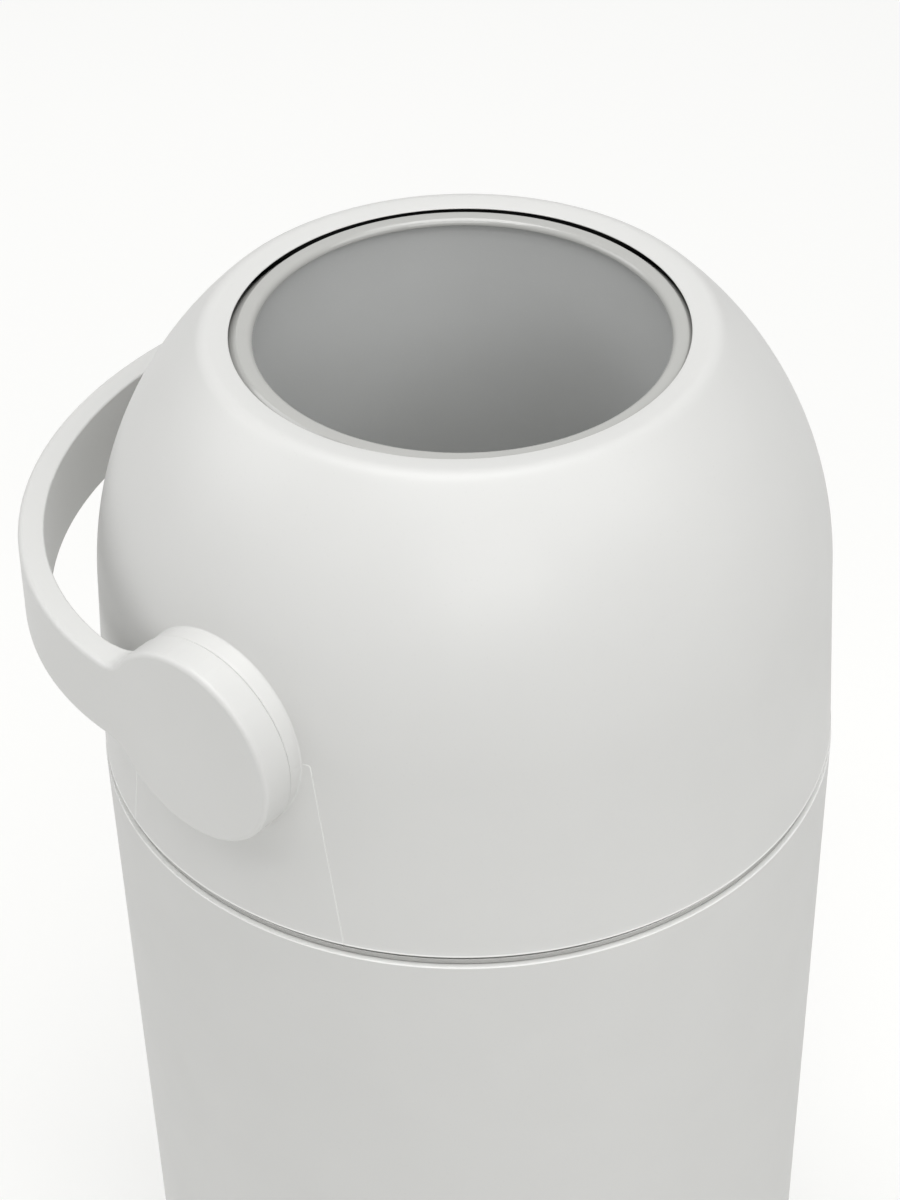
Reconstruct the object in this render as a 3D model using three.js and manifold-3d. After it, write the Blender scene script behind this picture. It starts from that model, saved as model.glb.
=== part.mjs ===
// Nappy bin with a flip-over cup: a round body, a domed lift-off lid, and in the lid a
// ball-shaped drum that the bail handle turns over, so that the cup empties into the bag.
// Millimetres, +Z up. The origin is the middle of the base, on the floor. The drum's pivot
// runs along X, the handle rests towards +Y.

import * as THREE from 'three';
import { mergeVertices } from 'three/addons/utils/BufferGeometryUtils.js';
import Module from 'manifold-3d';

const wasm = await Module();
wasm.setup();

// Facets of the round pieces, counts only
const facets = 36;
const smallFacets = 20;
const screwFacets = 8;
const domeSteps = 8;
const ballSteps = 5;
const cornerSteps = 2;
const discSteps = 9;
const neckSteps = 3;
const bandSteps = 12;
const grooveSteps = 14;
const pathSteps = 240;

// Gaps that all pieces share
const seatGap = 0.3;
const runningGap = 0.4;
const overrun = 20;
const weldDistance = 0.001;

// Body
const seamHeight = 457;
const seamRadius = 137.5;
const bodyTaper = 2;
const bodyWall = 2.8;
const bodyFloor = 3;
const bodyRimRound = 1.6;
const baseRound = 7;
const padSetback = 19.5;
const padThickness = 3;
const footStandoff = 1;

// Bag ring and its place in the seam
const ringBandHeight = 3.4;
const ringSetback = 1.9;
const collarSetback = 9;
const ringWall = 2.5;
const ringCollarDepth = 30;
const ringLipRound = 0.8;

// Lid dome: a leaning wall, one large arc, and a narrow band round the opening
const wallLeanAngle = 3.5;
const domeStandoff = 15.75;
const lidWall = 3;
const openingBand = 9.5;
const openingGap = 1.9;
const bandDipAngle = 7;
const crestRound = 5.5;
const openingUndercut = 2;
const undersideTrimAngle = 1.6;

// How the drum hangs in the lid at rest, and how far it turns
const drumClearance = 16.35;
const drumDrop = 19.45;
const rimDrop = 0.75;
const drumTiltAngle = 0.7;
const handleRiseAngle = 2;
const flipAngle = 178;

// Slot under each pivot, and the cover that closes it
const slotRise = 1.8;
const slotSide = 2.8;
const slotFlare = 11;
const slotCorner = 1.2;
const coverLap = 5;
const coverBacking = 2;

// Boss on dome and cover, the disc's seat
const hubRadius = 36.7;
const bushOuter = 17;
const innerBossRadius = 22;
const bushStandoff = 5;
const bushLip = 2;
const bushLipHeight = 1.6;
const lugRadius = 25;
const lugWidth = 5;
const lugDepth = 3;
const lugHalfAngle = 7;
const stopMarginAngle = 0.8;

// Drum: a ball cut off square at both ends, with a tube through it
const ballWall = 2.5;
const rimOverhang = 2;
const rimSetback = 3.6;
const rimHeight = 6;
const rimLip = 2.5;
const rimRound = 0.9;
const tubeRadius = 74;
const tubeWall = 1.8;
const seatThickness = 3;

// Axles
const axleRadius = 12.9;
const axleFlangeRadius = 20;
const axleFlange = 3.6;
const shoulderRadius = 16.5;
const keySide = 11;
const keyDepth = 11;
const screwRadius = 2;
const screwHeadRadius = 3.8;
const screwHeadHeight = 2.6;
const axleScrewLength = 22;
const webThickness = 5;

// Handle: a bail of one wide band that runs into a disc at each end
const discThickness = 12.4;
const bailStandoff = 20.8;
const bailStraight = 32;
const bailExponent = 2.05;
const bandWidth = 32.4;
const bandThickness = 9.4;
const neckFillet = 6;
const handleEdge = 2;
const handleInnerEdge = 1.6;

// Piston in the tube
const pistonHeight = 30;
const pistonDish = 2.5;
const pistonWall = 2.5;
const pistonLand = 8;
const sealGroove = 3;
const sealWidth = 5;
const coverThickness = 2.5;

// Cradle under the drum, its flange, seals and screws
const cradleGap = 2.5;
const cradleWall = 2.5;
const cradleHoleMargin = 1.5;
const flangeTop = 9;
const flangeThickness = 2.5;
const skirtClearance = 1.5;
const skirtDepth = 12;
const sealAngle = 5;
const sealStandoff = 4;
const sealTipSetback = 2.2;
const gasketSetback = 6.5;
const gasketHeight = 3.1;
const bossCount = 4;
const bossSetback = 8.5;
const bossRadius = 4.2;
const bossTop = 40;
const cradleScrewLength = 16;

// Finishes
const whiteShell = { color: 0xe6e6e4, roughness: 0.45, metalness: 0 };
const bodyShellFinish = { color: 0xdededb, roughness: 0.5, metalness: 0 };
const paleGrey = { color: 0xc9c9c7, roughness: 0.5, metalness: 0 };
const tubeGrey = { color: 0xc0c0be, roughness: 0.7, metalness: 0 };
const innerGrey = { color: 0xb4b4b2, roughness: 0.6, metalness: 0 };
const darkRubber = { color: 0x1c1c1c, roughness: 0.9, metalness: 0 };
const greyRubber = { color: 0x6b6b6a, roughness: 0.9, metalness: 0 };
const zincSteel = { color: 0xb9bcc0, roughness: 0.35, metalness: 1 };

const radians = THREE.MathUtils.degToRad;
const degrees = THREE.MathUtils.radToDeg;

// Body, pad and bag ring follow the seam
const baseRadius = seamRadius - bodyTaper;
const padRadius = baseRadius - padSetback;
const ringCollarRadius = seamRadius - collarSetback;
const collarInner = ringCollarRadius - ringWall;

// The drum is a ball that fits the lid, cut off where its tube comes through
const ballRadius = seamRadius - drumClearance;
const rimInner = tubeRadius - rimOverhang;
const rimOuter = tubeRadius + rimSetback;
const drumHalfLength = Math.sqrt(ballRadius ** 2 - rimOuter ** 2);
const pivotHeight = drumHalfLength - drumDrop;

// The opening stands just above the upper rim, with a band round it up to the dome's crest
const openingRadius = rimOuter + openingGap;
const openingHeight = pivotHeight + drumHalfLength + rimDrop;
const crestRadius = openingRadius + openingBand;
const crest = [crestRadius, bandHeight(crestRadius)];

// The dome's arc starts where the leaning wall runs into it smoothly, and ends at the crest
const lean = radians(wallLeanAngle);
const wallUp = new THREE.Vector2(-Math.sin(lean), Math.cos(lean));
const wallOut = new THREE.Vector2(Math.cos(lean), Math.sin(lean));
const toCrest = new THREE.Vector2(crestRadius - seamRadius, crest[1]);
const crestDepth = -toCrest.dot(wallOut);
const domeRadius = ballRadius + domeStandoff;
const wallLength = toCrest.dot(wallUp) - Math.sqrt(crestDepth * (2 * domeRadius - crestDepth));
const domeCentre = [
  seamRadius - domeRadius * wallOut.x + wallLength * wallUp.x,
  wallLength * wallUp.y - domeRadius * wallOut.y,
];
const crestAngle = degrees(Math.asin((crest[1] - domeCentre[1]) / domeRadius));

// Slot under the pivot, with the disc's boss on both sides of its edge
const slotTop = pivotHeight + slotRise;
const slotHalfTop = hubRadius + slotSide;
const slotHalfFoot = slotHalfTop + slotFlare;

// Places along the pivot line, from the ball outwards. The boss is flush with the wall at
// the pivot's height: above it the boss stands proud, and below it the wall is faced off
const bushInnerFace = ballRadius + bushStandoff;
const bossFace = seamRadius - pivotHeight * Math.tan(lean);
const handleFace = bossFace + discThickness;
const handleReach = seamRadius + bailStandoff;

// The cradle's skirt stands inside the bag ring's collar
const skirtRadius = collarInner - skirtClearance;
const gasketRadius = seamRadius - gasketSetback;
const bossRing = seamRadius - bossSetback;
const cradleHoleDepth = drumHalfLength + cradleHoleMargin;

// Height of the band round the opening at a radius, above the seam
function bandHeight(radius) {
  return openingHeight + (radius - openingRadius) * Math.tan(radians(bandDipAngle));
}

// How far the middle of a facet lies inside the circle that its ends are on
function facetSag(radius, sides = facets) {
  return radius * (1 - Math.cos(Math.PI / sides));
}

// A closed geometry as a solid, with its faces turned outwards
function solidOf(geometry) {
  geometry.deleteAttribute('normal');
  geometry.deleteAttribute('uv');
  const welded = mergeVertices(geometry, weldDistance);
  const position = welded.attributes.position;
  const corners = [];
  const index = welded.index.array;
  const [a, b, c] = [new THREE.Vector3(), new THREE.Vector3(), new THREE.Vector3()];
  let volume = 0;
  for (let i = 0; i < index.length; i += 3) {
    const [p, q, r] = [index[i], index[i + 1], index[i + 2]];
    if (p === q || q === r || r === p) continue;
    corners.push([p, q, r]);
    a.fromBufferAttribute(position, p);
    b.fromBufferAttribute(position, q);
    c.fromBufferAttribute(position, r);
    volume += a.dot(b.cross(c));
  }
  const triangles = volume < 0 ? corners.map(([p, q, r]) => [p, r, q]) : corners;
  return new wasm.Manifold(new wasm.Mesh({
    numProp: 3,
    vertProperties: Float32Array.from(position.array),
    triVerts: Uint32Array.from(triangles.flat()),
  }));
}

// A solid as a named mesh in its group
function place(group, name, solid, finish) {
  const { vertProperties, triVerts } = solid.getMesh();
  const geometry = new THREE.BufferGeometry();
  geometry.setAttribute('position', new THREE.BufferAttribute(Float32Array.from(vertProperties), 3));
  geometry.setIndex(new THREE.BufferAttribute(Uint32Array.from(triVerts), 1));
  geometry.computeVertexNormals();
  const mesh = new THREE.Mesh(geometry, new THREE.MeshStandardMaterial(finish));
  mesh.name = name;
  group.add(mesh);
  return mesh;
}

// A solid of revolution about Z from a closed outline of [radius, height] points
function revolve(outline, sides = facets) {
  const points = outline.map(([radius, height]) => new THREE.Vector2(radius, height));
  const onAxis = outline[0][0] === 0 && outline[outline.length - 1][0] === 0;
  if (!onAxis) points.push(points[0].clone());
  const lathe = new THREE.LatheGeometry(points, sides);
  lathe.rotateX(Math.PI / 2);
  return solidOf(lathe);
}

// The same about the pivot line: the outline is [radius, distance along +X]
function revolveAlongX(outline, sides = smallFacets) {
  const points = outline.map(([radius, along]) => new THREE.Vector2(radius, along));
  if (outline[0][0] !== 0) points.push(points[0].clone());
  const lathe = new THREE.LatheGeometry(points, sides);
  lathe.rotateX(Math.PI / 2);
  lathe.rotateY(Math.PI / 2);
  return solidOf(lathe);
}

// An outline of [y, z] points as a flat shape
function shapeOf(outline) {
  return new THREE.Shape(outline.map(([y, z]) => new THREE.Vector2(y, z)));
}

// A flat outline in the YZ plane, pushed out along X from one place to another
function prismAlongX(shape, from, to) {
  const geometry = new THREE.ExtrudeGeometry(shape, { depth: to - from, bevelEnabled: false });
  // shape x becomes Y, shape y becomes Z, depth becomes X
  const turn = new THREE.Matrix4().makeBasis(
    new THREE.Vector3(0, 1, 0), new THREE.Vector3(0, 0, 1), new THREE.Vector3(1, 0, 0));
  geometry.applyMatrix4(turn);
  geometry.translate(from, 0, 0);
  return solidOf(geometry);
}

// Points of an arc, from one angle to another in degrees
function arc(radius, fromAngle, toAngle, steps, centre = [0, 0]) {
  const points = [];
  for (let i = 0; i <= steps; i += 1) {
    const angle = radians(fromAngle + (toAngle - fromAngle) * i / steps);
    points.push([centre[0] + radius * Math.cos(angle), centre[1] + radius * Math.sin(angle)]);
  }
  return points;
}

// A corner of an outline rounded between the points before and after it
function rounded(before, corner, after, radius, steps = cornerSteps) {
  const p = new THREE.Vector2(...corner);
  const inwards = new THREE.Vector2(...before).sub(p).normalize();
  const outwards = new THREE.Vector2(...after).sub(p).normalize();
  const half = Math.acos(THREE.MathUtils.clamp(inwards.dot(outwards), -1, 1)) / 2;
  const reach = radius / Math.tan(half);
  const start = p.clone().addScaledVector(inwards, reach);
  const end = p.clone().addScaledVector(outwards, reach);
  const curve = new THREE.QuadraticBezierCurve(start, p, end);
  return curve.getPoints(steps).map((point) => [point.x, point.y]);
}

// Mirror image in the YZ plane
function mirrored(solid) {
  return solid.mirror([1, 0, 0]);
}

// The outside of the dome, set out by an offset, from its lower edge to its crest
function domeSkin(offset, lastAngle = crestAngle) {
  const foot = [seamRadius + offset / Math.cos(lean), 0];
  return [foot, ...arc(domeRadius + offset, wallLeanAngle, lastAngle, domeSteps, domeCentre)];
}

// The slot's outline in the YZ plane, above the seam, set out by a growth
function slotShape(grow, foot) {
  const slope = (slotHalfFoot - slotHalfTop) / slotTop;
  const top = slotTop + grow;
  const halfTop = slotHalfTop + grow - slope * grow;
  const halfFoot = slotHalfFoot + grow - slope * foot;
  const right = rounded([halfFoot, foot], [halfTop, top], [0, top], slotCorner);
  const outline = [[halfFoot, foot], ...right];
  const left = outline.map(([y, z]) => [-y, z]).reverse();
  return shapeOf([...outline, ...left]);
}

// A round blank along X about the pivot
function pivotDisc(radius, from, to, sides = facets) {
  return revolveAlongX([[0, from], [radius, from], [radius, to], [0, to]], sides)
    .translate([0, 0, pivotHeight]);
}

// Everything inside the middle of the dome's wall, as one filled blank
const wallMiddle = domeSkin(-lidWall / 2);
const domeBlank = revolve([[0, 0], ...wallMiddle, [0, wallMiddle.at(-1)[1]]]);

// Boss out to the handle's disc, and a smaller one inwards for the bush, before they are split
function bossBlank() {
  const outside = pivotDisc(hubRadius, bushInnerFace, bossFace).subtract(domeBlank);
  return outside.add(pivotDisc(innerBossRadius, bushInnerFace, bossFace - lidWall));
}

// Room for the handle's disc, which cuts into the wall below the pivot
function discRoom() {
  return pivotDisc(hubRadius + runningGap, bossFace, bossFace + overrun);
}

// The groove that the handle's stop lug runs in
function stopGroove() {
  const floor = bossFace - lugDepth - runningGap;
  const inner = lugRadius - lugWidth / 2 - runningGap;
  const outer = lugRadius + lugWidth / 2 + runningGap;
  const from = handleRiseAngle - lugHalfAngle - stopMarginAngle;
  const to = handleRiseAngle + flipAngle + lugHalfAngle + stopMarginAngle;
  const shape = shapeOf([...arc(outer, from, to, grooveSteps), ...arc(inner, to, from, grooveSteps)]);
  return prismAlongX(shape, floor, bossFace + overrun).translate([0, 0, pivotHeight]);
}

// Hole for the bush, through boss, dome and cover
function bushHole() {
  return pivotDisc(bushOuter + seatGap, bushInnerFace - overrun, bossFace + overrun, smallFacets);
}

const bin = new THREE.Group();
const lid = new THREE.Group();
lid.position.z = seamHeight;
const drum = new THREE.Group();
drum.position.z = seamHeight + pivotHeight;
drum.rotation.x = radians(drumTiltAngle);
const grip = new THREE.Group();
grip.position.z = seamHeight + pivotHeight;
grip.rotation.x = radians(handleRiseAngle);
const nappyBin = new THREE.Group();
nappyBin.add(bin, lid, drum, grip);

// Body shell
const rimTop = seamHeight - ringBandHeight - runningGap - seatGap;
const innerTop = seamRadius - bodyWall;
const innerBase = baseRadius - bodyWall;
const innerFloor = padThickness + seatGap + bodyFloor;
const bodyShell = revolve([
  [0, padThickness + seatGap],
  [padRadius + seatGap, padThickness + seatGap],
  [padRadius + seatGap, footStandoff],
  ...rounded([padRadius, footStandoff], [baseRadius, footStandoff], [baseRadius, rimTop], baseRound),
  ...rounded([seamRadius, footStandoff], [seamRadius, rimTop], [innerTop, rimTop], bodyRimRound),
  [innerTop, rimTop],
  ...rounded([innerTop, rimTop], [innerBase, innerFloor], [0, innerFloor], baseRound - bodyWall),
  [0, innerFloor],
]);
place(bin, 'body_shell', bodyShell, bodyShellFinish);

// Base pad, the face that the bin stands on
const pad = revolve([
  [0, 0],
  ...rounded([0, 0], [padRadius, 0], [padRadius, padThickness], footStandoff, 1),
  [padRadius, padThickness],
  [0, padThickness],
]);
place(bin, 'base_pad', pad, greyRubber);

// Bag ring: a flange that shows in the seam, and a collar that the bag is folded over
const ringBottom = rimTop + seatGap;
const ringTop = ringBottom + ringBandHeight;
const ringOuter = seamRadius - ringSetback;
const collarRound = ringWall - ringLipRound;
const bagRing = revolve([
  [ringCollarRadius, ringBottom],
  [ringOuter, ringBottom],
  ...rounded([ringOuter, ringBottom], [ringOuter, ringTop], [collarInner, ringTop], ringLipRound, 1),
  ...rounded([ringOuter, ringTop], [collarInner, ringTop], [collarInner, rimTop], collarRound, 1),
  [collarInner, rimTop - ringCollarDepth],
  [ringCollarRadius, rimTop - ringCollarDepth],
]);
place(bin, 'bag_ring', bagRing, paleGrey);

// Lid shell: the dome with its opening, boss halves, screw bosses and two slots
const openingEdge = [openingRadius, bandHeight(openingRadius)];
const openingUnder = [openingRadius + openingUndercut, bandHeight(openingRadius) - lidWall];
const outerSkin = domeSkin(0);
const innerSkin = domeSkin(-lidWall, crestAngle - undersideTrimAngle);
const domeShell = revolve([
  ...outerSkin.slice(0, -1),
  ...rounded(outerSkin.at(-2), crest, openingEdge, crestRound),
  ...rounded(crest, openingEdge, openingUnder, rimRound, 1),
  openingUnder,
  ...innerSkin.reverse(),
]);

// Where the screw bosses stand round the cradle's flange
function bossPlaces() {
  const places = [];
  for (let i = 0; i < bossCount; i += 1) {
    const angle = 2 * Math.PI * (i + 1 / 2) / bossCount;
    places.push([bossRing * Math.cos(angle), bossRing * Math.sin(angle)]);
  }
  return places;
}

// A round blank or hole at each of those places
function screwBosses(radius, from, to) {
  const boss = revolve([[0, from], [radius, from], [radius, to], [0, to]], screwFacets);
  return wasm.Manifold.union(bossPlaces().map(([x, y]) => boss.translate([x, y, 0])));
}

const pilotTop = flangeTop + cradleScrewLength;
const slotCutter = prismAlongX(slotShape(0, -overrun), bushInnerFace - overrun, seamRadius + overrun);
const upperBoss = bossBlank().subtract(slotCutter);
const pivotCuts = slotCutter.add(bushHole()).add(stopGroove());
const screwBossBlank = screwBosses(bossRadius, flangeTop + seatGap, bossTop).intersect(domeBlank);
const pilotHoles = screwBosses(screwRadius + seatGap, 0, pilotTop);
const lidShell = domeShell
  .add(upperBoss)
  .add(mirrored(upperBoss))
  .add(screwBossBlank)
  .subtract(pilotHoles)
  .subtract(pivotCuts)
  .subtract(mirrored(pivotCuts));
place(lid, 'lid_shell', lidShell, whiteShell);

// Slot covers: the rest of the wall and of the boss, with a backing that laps behind the dome
const backingDepth = lidWall + seatGap + coverBacking;
const panelShell = revolve([...domeSkin(0), ...domeSkin(-backingDepth).reverse()]);
const backingShell = revolve([...domeSkin(-lidWall - seatGap), ...domeSkin(-backingDepth).reverse()]);
const flangeRoomTop = flangeTop + seatGap;
const flangeRim = seamRadius - lidWall / Math.cos(lean) - flangeTop * Math.tan(lean);
const flangeRoom = revolve([
  [0, -overrun],
  [flangeRim, -overrun],
  [flangeRim, flangeRoomTop],
  [0, flangeRoomTop],
]);
const coverPanel = panelShell
  .add(bossBlank())
  .intersect(prismAlongX(slotShape(-seatGap, 0), bushInnerFace - overrun, seamRadius + overrun));
const backingPlate = backingShell
  .intersect(prismAlongX(slotShape(coverLap, flangeRoomTop), 0, seamRadius))
  .subtract(pivotDisc(innerBossRadius + seatGap, 0, seamRadius));
const slotCover = coverPanel
  .add(backingPlate)
  .subtract(flangeRoom)
  .subtract(discRoom())
  .subtract(bushHole())
  .subtract(stopGroove());
place(lid, 'slot_cover_right', slotCover, whiteShell);
place(lid, 'slot_cover_left', mirrored(slotCover), whiteShell);

// Pivot bushes, with a lip inside the dome
const boreRadius = axleRadius + runningGap;
const lipFace = bushInnerFace - seatGap;
const bush = revolveAlongX([
  [boreRadius, lipFace - bushLip],
  [bushOuter + bushLipHeight, lipFace - bushLip],
  [bushOuter + bushLipHeight, lipFace],
  [bushOuter, lipFace],
  [bushOuter, bossFace - lugDepth],
  [boreRadius, bossFace - lugDepth],
]).translate([0, 0, pivotHeight]);
place(lid, 'pivot_bush_right', bush, innerGrey);
place(lid, 'pivot_bush_left', mirrored(bush), innerGrey);

// Drum cradle: a bowl round the drum, a flange to the dome's bosses and a locating skirt
const bowlInner = ballRadius + cradleGap;
const bowlOuter = bowlInner + cradleWall;
const bowlAngle = (radius, drop) => degrees(Math.asin(drop / radius));
const flangeBottom = flangeTop - flangeThickness;
const pivot = [0, pivotHeight];
const bowlTop = bowlAngle(bowlInner, pivotHeight - flangeTop);
const bowlUnder = bowlAngle(bowlOuter, pivotHeight - flangeBottom);
const cradleBlank = revolve([
  ...arc(bowlInner, -bowlAngle(bowlInner, cradleHoleDepth), -bowlTop, ballSteps - 1, pivot),
  [flangeRim - seatGap, flangeTop],
  [flangeRim - seatGap, flangeBottom],
  [skirtRadius, flangeBottom],
  [skirtRadius, flangeBottom - skirtDepth],
  [skirtRadius - flangeThickness, flangeBottom - skirtDepth],
  [skirtRadius - flangeThickness, flangeBottom],
  ...arc(bowlOuter, -bowlUnder, -bowlAngle(bowlOuter, cradleHoleDepth), ballSteps - 1, pivot),
]);
const cradleScrewHoles = screwBosses(screwRadius + seatGap, flangeBottom - overrun, flangeTop + overrun);
place(lid, 'drum_cradle', cradleBlank.subtract(cradleScrewHoles), innerGrey);

// Cradle screws
const cradleScrewHead = flangeBottom - seatGap;
const cradleScrew = revolve([
  [0, cradleScrewHead - screwHeadHeight],
  [screwHeadRadius, cradleScrewHead - screwHeadHeight],
  [screwHeadRadius, cradleScrewHead],
  [screwRadius, cradleScrewHead],
  [screwRadius, pilotTop - seatGap],
  [0, pilotTop - seatGap],
], screwFacets);
bossPlaces().forEach(([x, y], i) => {
  place(lid, `cradle_screw_${i + 1}`, cradleScrew.translate([x, y, 0]), zincSteel);
});

// Seals round the drum: one under the opening, one in the cradle's hole
const lipRadius = ballRadius + seatGap + facetSag(ballRadius) + facetSag(ballRadius, 360 / sealAngle);
const cradleSeat = bowlInner - seatGap;
const cradleSealFrom = -bowlAngle(lipRadius, cradleHoleDepth - sealStandoff);
place(lid, 'cradle_seal', revolve([
  ...arc(lipRadius, cradleSealFrom, cradleSealFrom + sealAngle, 1, pivot),
  ...arc(cradleSeat, cradleSealFrom + sealAngle, cradleSealFrom, 1, pivot),
]), darkRubber);

const underside = domeSkin(-lidWall - seatGap, crestAngle - undersideTrimAngle).at(-1);
const undersideFall = (openingUnder[1] - underside[1]) / (underside[0] - openingUnder[0]);
const sealTopInner = [
  openingUnder[0] + sealTipSetback,
  openingUnder[1] - seatGap - undersideFall * sealTipSetback,
];
const sealLip = degrees(Math.acos(sealTopInner[0] / lipRadius));
const openingSeal = revolve([
  sealTopInner,
  [underside[0], underside[1] - seatGap],
  ...arc(lipRadius, sealLip - sealAngle, sealLip, 1, pivot),
]);
place(lid, 'opening_seal', openingSeal, darkRubber);

// Lid gasket, stretched over the cradle's skirt, just above the bag ring
const gasketInner = skirtRadius + seatGap;
const gasketFoot = ringTop + seatGap - seamHeight;
place(lid, 'lid_gasket', revolve([
  [gasketInner, gasketFoot],
  [gasketRadius, gasketFoot],
  [gasketRadius, gasketFoot + gasketHeight],
  [gasketInner, gasketFoot + gasketHeight],
]), darkRubber);

// Drum halves: ball shells with a seat for the tube and a notch for each axle
const seatHeight = drumHalfLength - rimHeight;
const ballInner = ballRadius - ballWall;
const tubeOuter = tubeRadius + tubeWall;
const latitude = (radius, height) => degrees(Math.asin(height / radius));
const innerTopAngle = latitude(ballInner, seatHeight - seatThickness);
const halfBlank = revolve([
  ...arc(ballRadius, latitude(ballRadius, seatGap / 2), latitude(ballRadius, seatHeight), ballSteps),
  [tubeOuter + seatGap, seatHeight],
  [tubeOuter + seatGap, seatHeight - seatThickness],
  ...arc(ballInner, innerTopAngle, latitude(ballInner, seatGap / 2), ballSteps),
]);
const axleHole = revolveAlongX([
  [0, -seamRadius],
  [axleRadius + seatGap, -seamRadius],
  [axleRadius + seatGap, seamRadius],
  [0, seamRadius],
]);
const tubeSpace = revolve([
  [0, -seamRadius],
  [tubeOuter + seatGap, -seamRadius],
  [tubeOuter + seatGap, seamRadius],
  [0, seamRadius],
]);
const upperHalf = halfBlank.subtract(axleHole.subtract(tubeSpace));
place(drum, 'drum_half_upper', upperHalf, innerGrey);
place(drum, 'drum_half_lower', upperHalf.mirror([0, 0, 1]), innerGrey);

// Drum tube, the cup's wall
const tubeHalf = drumHalfLength - rimLip - seatGap;
place(drum, 'drum_tube', revolve([
  [tubeRadius, -tubeHalf],
  [tubeOuter, -tubeHalf],
  [tubeOuter, tubeHalf],
  [tubeRadius, tubeHalf],
]), tubeGrey);

// Rim rings: they cap the ball, clamp the halves on the tube and keep the piston in
const rimFoot = seatHeight + seatGap;
const rimSide = arc(ballRadius, latitude(ballRadius, rimFoot), latitude(ballRadius, drumHalfLength), 2);
const rimRing = revolve([
  ...rimSide.slice(0, -1),
  ...rounded(rimSide.at(-2), [rimOuter, drumHalfLength], [rimInner, drumHalfLength], rimRound, 1),
  ...rounded([rimOuter, drumHalfLength], [rimInner, drumHalfLength], [rimInner, rimFoot], rimRound, 1),
  [rimInner, drumHalfLength - rimLip],
  [tubeOuter + seatGap, drumHalfLength - rimLip],
  [tubeOuter + seatGap, rimFoot],
]);
place(drum, 'rim_ring_upper', rimRing, paleGrey);
place(drum, 'rim_ring_lower', rimRing.mirror([0, 0, 1]), paleGrey);

// Axles: a flange inside the ball, a shoulder outside it, and a square socket for the handle
const ballStep = latitude(ballRadius, seatHeight) / ballSteps;
const ballDip = facetSag(ballInner) + facetSag(ballInner, 360 / ballStep);
const flangeFace = Math.sqrt(ballInner ** 2 - axleFlangeRadius ** 2) - seatGap - ballDip;
const shoulderFace = Math.sqrt(ballRadius ** 2 - (axleRadius + seatGap) ** 2) + runningGap;
const shoulderEnd = lipFace - bushLip - runningGap;
const axleEnd = bossFace - runningGap;
const socketFloor = axleEnd - keyDepth;
const axleBlank = revolveAlongX([
  [0, flangeFace - axleFlange],
  [axleFlangeRadius, flangeFace - axleFlange],
  [axleFlangeRadius, flangeFace],
  [axleRadius, flangeFace],
  [axleRadius, axleEnd],
  [0, axleEnd],
]);

function keyShape(side) {
  const half = side / 2;
  return shapeOf([[half, -half], [half, half], [-half, half], [-half, -half]]);
}

const shoulder = revolveAlongX([
  [0, shoulderFace],
  [shoulderRadius, shoulderFace],
  [shoulderRadius, shoulderEnd],
  [0, shoulderEnd],
]);
const axleScrewHole = revolveAlongX([
  [0, 0],
  [screwHeadRadius + seatGap, 0],
  [screwHeadRadius + seatGap, socketFloor - webThickness],
  [screwRadius + seatGap, socketFloor - webThickness],
  [screwRadius + seatGap, socketFloor + overrun],
  [0, socketFloor + overrun],
], screwFacets);
const axle = axleBlank
  .add(shoulder)
  .subtract(prismAlongX(keyShape(keySide + 2 * seatGap), socketFloor, axleEnd + overrun))
  .subtract(axleScrewHole);
place(grip, 'axle_right', axle, innerGrey);
place(grip, 'axle_left', mirrored(axle), innerGrey);

const screwSeat = socketFloor - webThickness - seatGap;
const axleScrew = revolveAlongX([
  [0, screwSeat - screwHeadHeight],
  [screwHeadRadius, screwSeat - screwHeadHeight],
  [screwHeadRadius, screwSeat],
  [screwRadius, screwSeat],
  [screwRadius, screwSeat + axleScrewLength],
  [0, screwSeat + axleScrewLength],
], screwFacets);
place(grip, 'axle_screw_right', axleScrew, zincSteel);
place(grip, 'axle_screw_left', mirrored(axleScrew), zincSteel);

// The bail's outer curve as points with their length along it, from one hub to the apex
function bailPath() {
  const path = [{ x: handleFace, y: -hubRadius, along: -hubRadius }];
  for (let i = 0; i <= pathSteps; i += 1) {
    const angle = Math.PI / 2 * i / pathSteps;
    const x = handleFace * Math.cos(angle) ** (2 / bailExponent);
    const y = bailStraight + (handleReach - bailStraight) * Math.sin(angle) ** (2 / bailExponent);
    const last = path.at(-1);
    path.push({ x, y, along: last.along + Math.hypot(x - last.x, y - last.y) });
  }
  return path;
}
const bail = bailPath();
const bailLength = bail.at(-1).along;

// Place and outward direction at a length along the bail
function bailAt(along) {
  const next = Math.max(1, bail.findIndex((point) => point.along >= along));
  const [p, q] = [bail[next - 1], bail[next]];
  const share = (along - p.along) / (q.along - p.along);
  const direction = new THREE.Vector2(q.x - p.x, q.y - p.y).normalize();
  return {
    x: p.x + (q.x - p.x) * share,
    y: p.y + (q.y - p.y) * share,
    out: new THREE.Vector2(direction.y, -direction.x),
  };
}

// The handle's flat outline from the disc's far edge to the apex: [along, half width]
function handleOutline(inset) {
  const half = bandWidth / 2;
  const neckAlong = Math.sqrt((hubRadius + neckFillet) ** 2 - (half + neckFillet) ** 2);
  const tangent = degrees(Math.atan2(half + neckFillet, neckAlong));
  const disc = arc(hubRadius - inset, 180, tangent, discSteps);
  const neck = arc(neckFillet + inset, 180 + tangent, 270, neckSteps, [neckAlong, half + neckFillet]);
  const outline = [...disc, ...neck.slice(1)];
  for (let i = 1; i <= bandSteps; i += 1) {
    outline.push([neckAlong + (bailLength - neckAlong) * i / bandSteps, half - inset]);
  }
  return { outline, neckAlong };
}

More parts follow.
